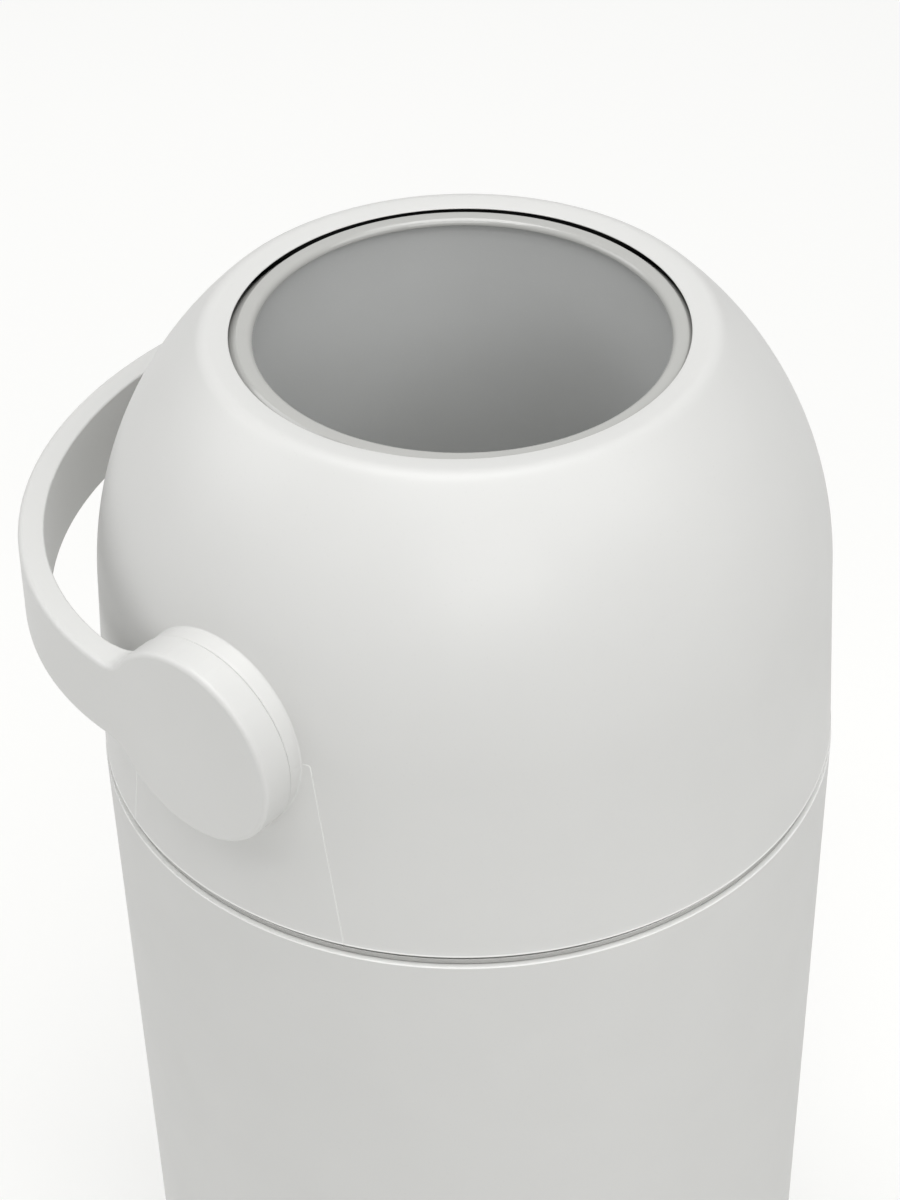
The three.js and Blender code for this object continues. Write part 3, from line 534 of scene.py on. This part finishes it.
def halfBoss(boss, keepAbove):
    # the part of the boss above or below the slot's top line
    bm = boss.copy()
    s = slotShape
    edge = s["top"] + (s["gap"] / 2 if keepAbove else -s["gap"] / 2)
    cut = bmesh.ops.bisect_plane(bm, geom=allOf(bm), dist=1e-4, plane_co=(0, 0, edge),
                                 plane_no=(0, 0, -1 if keepAbove else 1), clear_outer=True)
    rim = [e for e in cut["geom_cut"] if isinstance(e, bmesh.types.BMEdge)]
    bmesh.ops.holes_fill(bm, edges=rim, sides=0)
    bmesh.ops.recalc_face_normals(bm, faces=bm.faces)
    return bm


def giveWall(piece):
    # the wall is slotShape's thickness, but runs out to a thin edge round the opening
    thin = piece.vertex_groups.new(name="wall")
    low = dome["edgeWall"] / slotShape["wall"]
    for v in piece.data.vertices:
        out = (math.hypot(v.co.x, v.co.y) / mm - dome["openingRadius"]) / dome["edgeReach"]
        thin.add([v.index], min(low + (1 - low) * max(out, 0.0), 1.0), "REPLACE")
    wall = piece.modifiers.new("wall", "SOLIDIFY")
    wall.thickness, wall.offset, wall.use_quality_normals = slotShape["wall"] * mm, -1, True
    wall.vertex_group = "wall"
    applied(piece)
    piece.vertex_groups.clear()


def flareEdge(piece):
    # the outside of the lower edge flares out, which, with the painted highlight there, gives it a bright line
    skinDepth = 0.5  # mm; the wall's inside lies deeper
    for v in piece.data.vertices:
        r, z = math.hypot(v.co.x, v.co.y) / mm, v.co.z / mm - seam["height"]
        if z < dome["flareTo"] and r > domeRadiusAt(z) - skinDepth:
            share = min((dome["flareTo"] - z) / (dome["flareTo"] - dome["flareFrom"]), 1.0)
            wider = 1 + dome["flare"] * share / r
            v.co.x, v.co.y = v.co.x * wider, v.co.y * wider


def faceOff(piece, side):
    # cuts the disc's room into the cover's wall
    b = bossShape
    low, high = b["face"] - b["sunk"], b["face"] + b["roomDepth"]
    room = spun([(0, low), (b["room"], low), (b["room"], high), (0, high)], 160, closed=False)
    turn = Matrix.Rotation(math.radians(90 * side), 4, "Y")
    cutAway(piece, moved(room, lidPlace @ Matrix.Translation((0, 0, pivotHeight)) @ turn))


# Heights between which the skin is shaded as the true curve, and how near to it a point and a face must be
skinShade = dict(low=2.0, high=150.0, offset=0.02, cosine=0.99)


def shadeSkin(piece):
    # on the dome's own surface the shading follows the true curve, which hides the cuts beside the slot
    mesh = piece.data
    foot, top = wallEnds()
    normals = []
    for polygon in mesh.polygons:
        for index in polygon.vertices:
            p = mesh.vertices[index].co / mm
            r, z = math.hypot(p.x, p.y), p.z - seam["height"]
            normal = Vector((0.0, 0.0, 0.0))
            if skinShade["low"] < z < skinShade["high"] and abs(domeRadiusAt(z) - r) < skinShade["offset"]:
                out, up = top.y, foot.x - top.x
                if z > top.y:
                    out, up = r - dome["centreRadius"], z - dome["centreHeight"]
                true = Vector((p.x / r * out, p.y / r * out, up)).normalized()
                if true.dot(polygon.normal) > skinShade["cosine"]:
                    normal = true
            normals.append(normal)
    mesh.normals_split_custom_set(normals)


def mirrored(bm):
    copy = moved(bm.copy(), Matrix.Scale(-1, 4, (1, 0, 0)))
    bmesh.ops.reverse_faces(copy, faces=copy.faces)
    return copy


def onShell(c, lines):
    return slotDistance(c.y, c.z, lines) > slotShape["gap"] / 2 or abs(c.x) < slotShape["sideFrom"]


def onCover(c, lines):
    # only the right one, which is mirrored for the left
    return slotDistance(c.y, c.z, lines) < -slotShape["gap"] / 2 and c.x > slotShape["sideFrom"]


# picks the faces that get the painted highlight: beside the slot covers' outlines and along the lid's lower
# edge
def onLidEdge(c):
    off = abs(slotDistance(c.y, c.z - seam["height"], slotLines())) - slotShape["gap"] / 2
    beside = abs(c.x) > slotShape["sideFrom"] and off < slotShape["edgeRound"]
    return beside or c.z < seam["height"] + highlightReach["lidEdge"]


def addIsland(piece, bm):
    # adds a moulding to a finished piece
    inMetres(bm)
    bm.from_mesh(piece.data)
    bm.to_mesh(piece.data)
    bm.free()


def makePanel(skin, boss, name, node, side=0):
    # one moulding of the lid, from its skin and its share of the bosses; side is 1 or -1 for a slot cover,
    # whose wall is faced off behind the disc
    piece = finished(moved(skin, lidPlace), name, "lid", whiteAbs, [node])
    # painted highlight along the slot's edges and the lid's lower edge
    paintEdgeHighlight(piece, onLidEdge)
    giveWall(piece)
    flareEdge(piece)
    if side:
        faceOff(piece, side)
    addIsland(piece, moved(boss, lidPlace))
    shadeSkin(piece)


def makeLid():
    skin = makeDomeSkin()
    boss = makeBoss()
    upper = halfBoss(boss, True)
    makePanel(shellOf(skin, onShell, 1), joined(upper, mirrored(upper)), "lidShell", "lid_shell")
    lower = halfBoss(boss, False)
    cover = shellOf(skin, onCover, -1)
    makePanel(cover.copy(), lower.copy(), "slotCoverRight", "slot_cover_right", 1)
    makePanel(mirrored(cover), mirrored(lower), "slotCoverLeft", "slot_cover_left", -1)


makeLid()
print("lid shell and slot covers made")

# Handle: one moulding of even section, flat at the discs and bent round as a bail. It is cut out flat, its
# edges are rounded, and then it is bent along the bail's line
handle = dict(hub=36.7, face=145.39, reach=158.29, straight=32.0, squareness=2.05, bandWidth=32.4,
              bandThickness=9.4, hubThickness=12.3, neckRound=10.0, edge=2.0, innerEdge=0.8, stations=4.0)


def neckEnd():
    # how far from the pivot the fillet between disc and band runs into the band
    h = handle
    return math.sqrt((h["hub"] + h["neckRound"]) ** 2 - (h["bandWidth"] / 2 + h["neckRound"]) ** 2)


def bailLine():
    # the bail's outside from the disc to the middle, as (x, y, way along it from the pivot)
    h = handle
    line = [(h["face"], -h["hub"], -h["hub"])]
    count = 400
    for i in range(count + 1):
        a = math.pi / 2 * i / count
        x = h["face"] * max(math.cos(a), 0.0) ** (2 / h["squareness"])
        y = h["straight"] + (h["reach"] - h["straight"]) * math.sin(a) ** (2 / h["squareness"])
        last = line[-1]
        line.append((x, y, last[2] + math.hypot(x - last[0], y - last[1])))
    return line


def handlePlate(length, end):
    # half of the handle laid out flat, from the disc to the middle, cut across at even stations
    h = handle
    half = h["bandWidth"] / 2
    neckAt = neckEnd()
    tangent = math.degrees(math.atan2(half + h["neckRound"], neckAt))
    disc = arc(h["hub"], 180, tangent, 40)
    neck = arc(h["neckRound"], 180 + tangent, 270, 10, (neckAt, half + h["neckRound"]))
    top = disc + neck[1:] + [(length, half)]
    outline = top + [(x, -w) for x, w in reversed(top) if w > 1e-6]
    bm = bmesh.new()
    face = bm.faces.new([bm.verts.new((along, width, 0)) for along, width in outline])
    deep = bmesh.ops.extrude_face_region(bm, geom=[face])
    lower = [g for g in deep["geom"] if isinstance(g, bmesh.types.BMVert)]
    bmesh.ops.translate(bm, verts=lower, vec=(0, 0, -h["hubThickness"]))
    bmesh.ops.recalc_face_normals(bm, faces=bm.faces)
    for height, rounding, segments in ((0, h["edge"], 6), (-h["hubThickness"], h["innerEdge"], 3)):
        rim = [e for e in bm.edges if all(abs(v.co.z - height) < 1e-4 for v in e.verts)
               and not all(v.co.x > end for v in e.verts)]
        bmesh.ops.bevel(bm, geom=rim, offset=rounding, segments=segments, profile=0.5, affect="EDGES",
                        material=-1)
    count = int((length + h["hub"]) / h["stations"])
    for i in range(1, count):
        bmesh.ops.bisect_plane(bm, geom=allOf(bm), dist=1e-4, plane_no=(1, 0, 0),
                               plane_co=(-h["hub"] + (length + h["hub"]) * i / count, 0, 0))
    return bm


def bent(co, line, end):
    # where a point of the flat plate comes to lie once the plate is bent
    h = handle
    along, width, depth = co
    share = min(max((along - neckEnd() + h["neckRound"]) / (2 * h["neckRound"]), 0.0), 1.0)
    share = share * share * (3 - 2 * share)
    thickness = h["hubThickness"] + (h["bandThickness"] - h["hubThickness"]) * share
    if depth < -h["edge"]:  # the inner side and its rounded edge come outwards where the band is thinner
        depth += h["hubThickness"] - thickness
    k = next((i for i, p in enumerate(line) if p[2] >= along and i > 0), len(line) - 1)
    p, q = line[k - 1], line[k]
    t = (along - p[2]) / (q[2] - p[2])
    direction = Vector((q[0] - p[0], q[1] - p[1])).normalized()
    out = Vector((direction.y, -direction.x))
    if along > end:
        out, t = Vector((0, 1)), 1.0
    return Vector((p[0] + (q[0] - p[0]) * t + out.x * depth, p[1] + (q[1] - p[1]) * t + out.y * depth, width))


def makeHandle():
    line = bailLine()
    length = line[-1][2]
    end = length - 1e-3
    bm = handlePlate(length, end)
    for v in bm.verts:
        v.co = bent(v.co, line, end)
    middle = 0.02  # what lies this near to the middle plane is put on it
    seamFaces = [f for f in bm.faces if all(abs(v.co.x) < middle for v in f.verts)]
    bmesh.ops.delete(bm, geom=seamFaces, context="FACES_ONLY")
    for v in bm.verts:
        if abs(v.co.x) < middle:
            v.co.x = 0
    bmesh.ops.mirror(bm, geom=allOf(bm), axis="X", merge_dist=1e-3)
    bmesh.ops.remove_doubles(bm, verts=bm.verts, dist=1e-3)
    bmesh.ops.recalc_face_normals(bm, faces=bm.faces)
    piece = finished(moved(bm, gripPlace), "bailHandle", "drum", whiteAbs, ["handle"])
    piece.modifiers.new("even", "WEIGHTED_NORMAL").keep_sharp = True


makeHandle()
print("handle made")

# Drum: ball halves, tube through them, and a rim ring at each end
drum = dict(ball=121.15, wall=2.5, joint=0.15, half=93.03, seat=87.03, seatThickness=3.0, tube=74.0,
            tubeWall=1.8, tubeHalf=90.2, tubeRound=0.4, rimInner=72.0, rimLip=2.5, rimRound=0.8, lipRound=2.2,
            lipFootRound=0.3, gap=0.3)


def latitude(radius, height):
    # degrees above a ball's middle
    return math.degrees(math.asin(height / radius))


def makeDrum():
    d = drum
    outer = d["tube"] + d["tubeWall"]
    ballInner = d["ball"] - d["wall"]
    under = d["seat"] - d["seatThickness"]
    ballHalf = arc(d["ball"], latitude(d["ball"], d["joint"]), latitude(d["ball"], d["seat"]), 32) + [
        (outer + d["gap"], d["seat"]), (outer + d["gap"], under)] + arc(
        ballInner, latitude(ballInner, under), latitude(ballInner, d["joint"]), 32)
    rimAt = d["seat"] + d["gap"]
    rimOuter = math.sqrt(d["ball"] ** 2 - d["half"] ** 2)
    side = arc(d["ball"], latitude(d["ball"], rimAt), latitude(d["ball"], d["half"] - d["rimRound"]), 6)
    rim = outlineOf(side + [(rimOuter, d["half"], d["rimRound"]), (d["rimInner"], d["half"], d["lipRound"]),
                            (d["rimInner"], d["half"] - d["rimLip"], d["lipFootRound"]),
                            (outer + d["gap"], d["half"] - d["rimLip"]), (outer + d["gap"], rimAt)], steps=6)
    flip = Matrix.Scale(-1, 4, (0, 0, 1))
    for name, lower in (("Upper", False), ("Lower", True)):
        for outline, piece, slot, material, node in (
                (ballHalf, "drumHalf", "inner_plastic", innerPolypropylene, "drum_half_"),
                (rim, "rimRing", "ring_plastic", paleGreyAbs, "rim_ring_")):
            bm = spun(outline, 224)
            if lower:
                moved(bm, flip)
                bmesh.ops.recalc_face_normals(bm, faces=bm.faces)
            finished(moved(bm, drumPlace), piece + name, "drum", material, [node + name.lower()])
    ends = ((d["tube"], -1), (outer, -1), (outer, 1), (d["tube"], 1))
    tube = outlineOf([(r, d["tubeHalf"] * up, d["tubeRound"]) for r, up in ends], steps=3)
    finished(moved(spun(tube, 224), drumPlace), "drumTube", "drum", sparkGreyAbs,
             ["drum_tube"])


makeDrum()

# Piston: the cup's floor, with a dished cover and a wiper seal in its groove
piston = dict(foot=-90.2, height=30.0, radius=73.3, groove=70.3, grooveFoot=8.0, sealWidth=5.0, sealTip=73.7,
              cover=2.5, dish=2.5, wall=2.5, land=64.0, gap=0.3, crispRound=0.3, skirtRound=0.8, lipRound=1.0,
              landRound=2.0, innerRound=1.5, coverRound=0.5, sealRound=0.2, wingRound=0.4, tipRound=0.5)


def makePiston():
    p = piston
    foot, top = p["foot"], p["foot"] + p["height"]
    seat = top - p["dish"] - p["cover"]
    inner, rim = p["groove"] - p["wall"], p["groove"] - p["gap"]
    lip = p["land"] + p["dish"]
    low = foot + p["grooveFoot"]
    high = low + p["sealWidth"]
    crisp, gap = p["crispRound"], p["gap"]
    shell = outlineOf([
        (0, foot + p["dish"]), (p["land"], foot + p["dish"], p["landRound"]), (lip, foot, p["lipRound"]),
        (p["radius"], foot, p["skirtRound"]), (p["radius"], low, crisp), (p["groove"], low, crisp),
        (p["groove"], high, crisp), (p["radius"], high, crisp), (p["radius"], top, p["skirtRound"]),
        (rim, top, crisp), (rim, seat - gap), (inner, seat - gap),
        (inner, foot + p["dish"] + p["wall"], p["innerRound"]), (0, foot + p["dish"] + p["wall"])],
        steps=4, closed=False)
    finished(moved(spun(shell, 160, closed=False), drumPlace), "pistonBody", "piston",
             innerPolypropylene, ["piston_body"])
    cover = outlineOf([
        (0, seat), (rim - gap, seat, crisp), (rim - gap, top, p["coverRound"]), (lip, top, p["lipRound"]),
        (p["land"], seat + p["cover"], p["landRound"]), (0, seat + p["cover"])], steps=4, closed=False)
    finished(moved(spun(cover, 160, closed=False), drumPlace), "pistonCover", "piston",
             innerPolypropylene, ["piston_cover"])
    seal = outlineOf([
        (p["groove"] + gap, low + gap, p["sealRound"]), (p["radius"], low + gap, p["wingRound"]),
        (p["sealTip"], low + p["sealWidth"] / 2, p["tipRound"]), (p["radius"], high - gap, p["wingRound"]),
        (p["groove"] + gap, high - gap, p["sealRound"])], steps=4)
    finished(moved(spun(seal, 160), drumPlace), "pistonSeal", "piston", sealRubberPaintedShade,
             ["piston_seal"])


makePiston()
print("drum and piston made")

# Cradle under the drum, its screws and the soft rings
cradle = dict(bowl=123.65, wall=2.5, hole=94.5, flangeTop=9.0, flange=2.5, flangeRim=133.64, skirt=124.5,
              skirtDepth=12.0, screwRing=129.0, rimRound=0.5, rootRound=0.4, skirtRound=0.8)


def makeCradle():
    c = cradle
    under = c["flangeTop"] - c["flange"]
    foot = under - c["skirtDepth"]
    skirtInner = c["skirt"] - c["flange"]

    def bowlArc(radius, start, end):
        # start and end are depths below the pivot
        return arc(radius, -latitude(radius, start), -latitude(radius, end), 16, (0, pivotHeight))

    outline = outlineOf(bowlArc(c["bowl"], c["hole"], pivotHeight - c["flangeTop"]) + [
        (c["flangeRim"], c["flangeTop"], c["rimRound"]), (c["flangeRim"], under, c["rimRound"]),
        (c["skirt"], under, c["rootRound"]), (c["skirt"], foot, c["skirtRound"]),
        (skirtInner, foot, c["skirtRound"]), (skirtInner, under, c["skirtRound"])] +
        bowlArc(c["bowl"] + c["wall"], pivotHeight - under, c["hole"]), steps=4)
    finished(moved(spun(outline, 192), lidPlace), "drumCradle", "lid", innerPolypropylene,
             ["drum_cradle"])


def softRing(node, name, outline):
    ring = spun(outlineOf(outline, steps=4))
    # the seals are near black: painted shade in the gaps they fill
    finished(moved(ring, lidPlace), name, "lid", sealRubberPaintedShade, [node])


# The seals run close round the ball, over an angle span in degrees
seals = dict(gasketInner=124.8, gasketInnerRound=0.5, gasketOuterRound=0.8, ballGap=0.9, bowlGap=0.3,
             cradleDrop=4.0, span=5.0, tip=83.7, tipHeight=163.8, root=89.3, rootHeight=163.2, tipRound=0.3)


def makeSoftRings():
    s = seals
    low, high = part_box("lid_gasket")
    foot, top = low.z / mm - seam["height"], high.z / mm - seam["height"]
    inner, outer = s["gasketInner"], high.x / mm
    innerRound, outerRound = s["gasketInnerRound"], s["gasketOuterRound"]
    softRing("lid_gasket", "lidGasket", [(inner, foot, innerRound), (outer, foot, outerRound),
                                         (outer, top, outerRound), (inner, top, innerRound)])
    lip = drum["ball"] + s["ballGap"]
    centre = (0, pivotHeight)
    start = -latitude(lip, cradle["hole"] - s["cradleDrop"])
    end = start + s["span"]
    softRing("cradle_seal", "cradleSeal", arc(lip, start, end, 4, centre) +
             arc(cradle["bowl"] - s["bowlGap"], end, start, 4, centre))
    end = math.degrees(math.acos(s["tip"] / lip))
    seal = [(s["tip"], s["tipHeight"], s["tipRound"]), (s["root"], s["rootHeight"], s["tipRound"])]
    softRing("opening_seal", "openingSeal", seal + arc(lip, end - s["span"], end, 4, centre))


# Screws: four hold the cradle to the lid, and one holds each axle to the handle
screw = dict(head=3.8, headHeight=2.6, crown=2.4, crownRound=0.6, shoulder=1.4, shoulderRound=1.2, shank=2.0,
             seatRound=0.2, point=2.5, pointRound=0.5, recess=(3.8, 0.9, 2.6), cradleLength=18, axleLength=22)


def makeScrew(name, node, place, body, length):
    # pan head with a cross recess, drawn head down at the origin and set by its place
    s = screw
    outline = outlineOf([
        (0, -s["headHeight"]), (s["crown"], -s["headHeight"], s["crownRound"]),
        (s["head"], -s["shoulder"], s["shoulderRound"]), (s["head"], 0, s["seatRound"]),
        (s["shank"], 0, s["seatRound"]), (s["shank"], length - s["point"], s["pointRound"]), (0, length)],
        steps=4, closed=False)
    bm = spun(outline, 32, closed=False)
    cross = bmesh.new()
    for turn in (0, 90):
        bar = bmesh.ops.create_cube(cross, size=1)["verts"]
        shape = Matrix.Rotation(math.radians(turn), 4, "Z") @ Matrix.Diagonal((*s["recess"], 1))
        bmesh.ops.transform(cross, matrix=Matrix.Translation((0, 0, -s["headHeight"])) @ shape, verts=bar)
    piece = finished(moved(bm, place), name, body, zincSteel, [node], sharp=35)
    cutAway(piece, moved(cross, place), crossing=True)


def makeScrews():
    for i in range(4):
        a = math.radians(45 + 90 * i)
        x, y = cradle["screwRing"] * math.cos(a), cradle["screwRing"] * math.sin(a)
        node = f"cradle_screw_{i + 1}"
        place = Matrix.Translation((x, y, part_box(node)[0].z / mm + screw["headHeight"]))
        makeScrew(f"cradleScrew{i + 1}", node, place, "lid", screw["cradleLength"])
    for name, side in (("Right", 1), ("Left", -1)):
        low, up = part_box("axle_screw_" + name.lower())
        seat = (min(abs(low.x), abs(up.x)) / mm + screw["headHeight"]) * side
        turn = Matrix.Rotation(math.radians(90 * side), 4, "Y")
        place = gripPlace @ Matrix.Translation((seat, 0, 0)) @ turn
        makeScrew("axleScrew" + name, "axle_screw_" + name.lower(), place, "drum", screw["axleLength"])


# Pivot bushes behind the bosses: bore, outer and flange are radii, the others distances along the pivot's axis
# and roundings
bush = dict(bore=13.3, outer=17.0, flange=18.6, inner=123.9, flangeFace=125.8, face=130.0, edge=0.4,
            flangeRound=0.5, flangeEdge=0.3)


def makeBushes():
    b = bush
    outline = outlineOf([
        (b["bore"], b["inner"], b["edge"]), (b["flange"], b["inner"], b["flangeRound"]),
        (b["flange"], b["flangeFace"], b["flangeEdge"]), (b["outer"], b["flangeFace"]),
        (b["outer"], b["face"], b["edge"]), (b["bore"], b["face"], b["edge"])], steps=3)
    for name, side in (("Right", 90), ("Left", -90)):
        place = Matrix.Translation(pivot) @ Matrix.Rotation(math.radians(side), 4, "Y")
        finished(moved(spun(outline, 96), place), "pivotBush" + name, "lid",
                 innerPolypropylene, ["pivot_bush_" + name.lower()])


makeCradle()
makeSoftRings()
makeScrews()
makeBushes()
for node in ("axle_left", "axle_right"):  # hidden between ball and disc, so the CAD shape stays
    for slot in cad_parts[node].material_slots:
        slot.material = innerPolypropylene
print("cradle, seals, screws and bushes made")

# Studio: a pale floor that glows a little, soft light from all round, and soft boxes, the largest overhead.
# Each box is (power in W, azimuth and elevation in degrees, distance and size in m) and points at aim
studio = dict(world=0.39, floor="#dadad8", floorRadius=9.0, glow=(0.28, 0.4), glowFrom=(0.3, 1.8), aim=0.45,
              boxes=dict(top=(35.0, 0.0, 88.0, 2.6, (1.8, 1.8)), front=(12.0, 8.0, 32.0, 2.4, (1.6, 1.0)),
                         right=(11.0, 60.0, 45.0, 2.4, (1.4, 1.2)), high=(8.0, -8.0, 62.0, 2.4, (1.6, 0.3)),
                         side=(11.0, -98.0, 36.0, 2.4, (1.6, 1.2))))


def softBox(name, power, azimuth, elevation, distance, size):
    # azimuth is from the camera's own direction, to the right
    a, e = math.radians(view["azimuth"] + azimuth), math.radians(elevation)
    direction = Vector((math.sin(a) * math.cos(e), -math.cos(a) * math.cos(e), math.sin(e)))
    lamp = bpy.data.lights.new(name, "AREA")
    lamp.shape, lamp.size, lamp.size_y, lamp.energy = "RECTANGLE", *size, power
    light = bpy.data.objects.new(name, lamp)
    light.location = Vector((0, 0, studio["aim"])) + direction * distance
    light.rotation_euler = (-direction).to_track_quat("-Z", "Y").to_euler()
    scene.collection.objects.link(light)


def paleFloor():
    # matte; it glows more at the far side, where less light falls, so that the ground stays even
    material = bpy.data.materials.new("paleFloor")
    material.use_nodes = True
    tree = material.node_tree
    shader = tree.nodes["Principled BSDF"]
    shader.inputs["Base Color"].default_value = linear(studio["floor"])
    shader.inputs["Roughness"].default_value = 0.9
    shader.inputs["Specular IOR Level"].default_value = 0.1
    shader.inputs["Emission Color"].default_value = (1, 1, 1, 1)
    away = addNode(tree, "ShaderNodeVectorMath", {0: addNode(tree, "ShaderNodeTexCoord").outputs["Object"]},
                   operation="DOT_PRODUCT")
    turn = math.radians(view["azimuth"])
    away.inputs[1].default_value = (-math.sin(turn), math.cos(turn), 0)
    glow = addNode(tree, "ShaderNodeMapRange", {"Value": away.outputs["Value"]},
                   interpolation_type="SMOOTHSTEP")
    glow.inputs["From Min"].default_value, glow.inputs["From Max"].default_value = studio["glowFrom"]
    glow.inputs["To Min"].default_value, glow.inputs["To Max"].default_value = studio["glow"]
    tree.links.new(glow.outputs["Result"], shader.inputs["Emission Strength"])
    return material


def makeStudio():
    bm = bmesh.new()
    bmesh.ops.create_circle(bm, cap_ends=True, segments=96, radius=studio["floorRadius"])
    mesh = bpy.data.meshes.new("floor")
    bm.to_mesh(mesh)
    bm.free()
    mesh.materials.append(paleFloor())
    floor = bpy.data.objects.new("floor", mesh)
    scene.collection.objects.link(floor)
    world = bpy.data.worlds.new("studio")
    world.use_nodes = True
    world.node_tree.nodes["Background"].inputs["Color"].default_value = (1, 1, 1, 1)
    world.node_tree.nodes["Background"].inputs["Strength"].default_value = studio["world"]
    scene.world = world
    for name, box in studio["boxes"].items():
        softBox(name + "Box", *box)


makeStudio()
print("studio made")
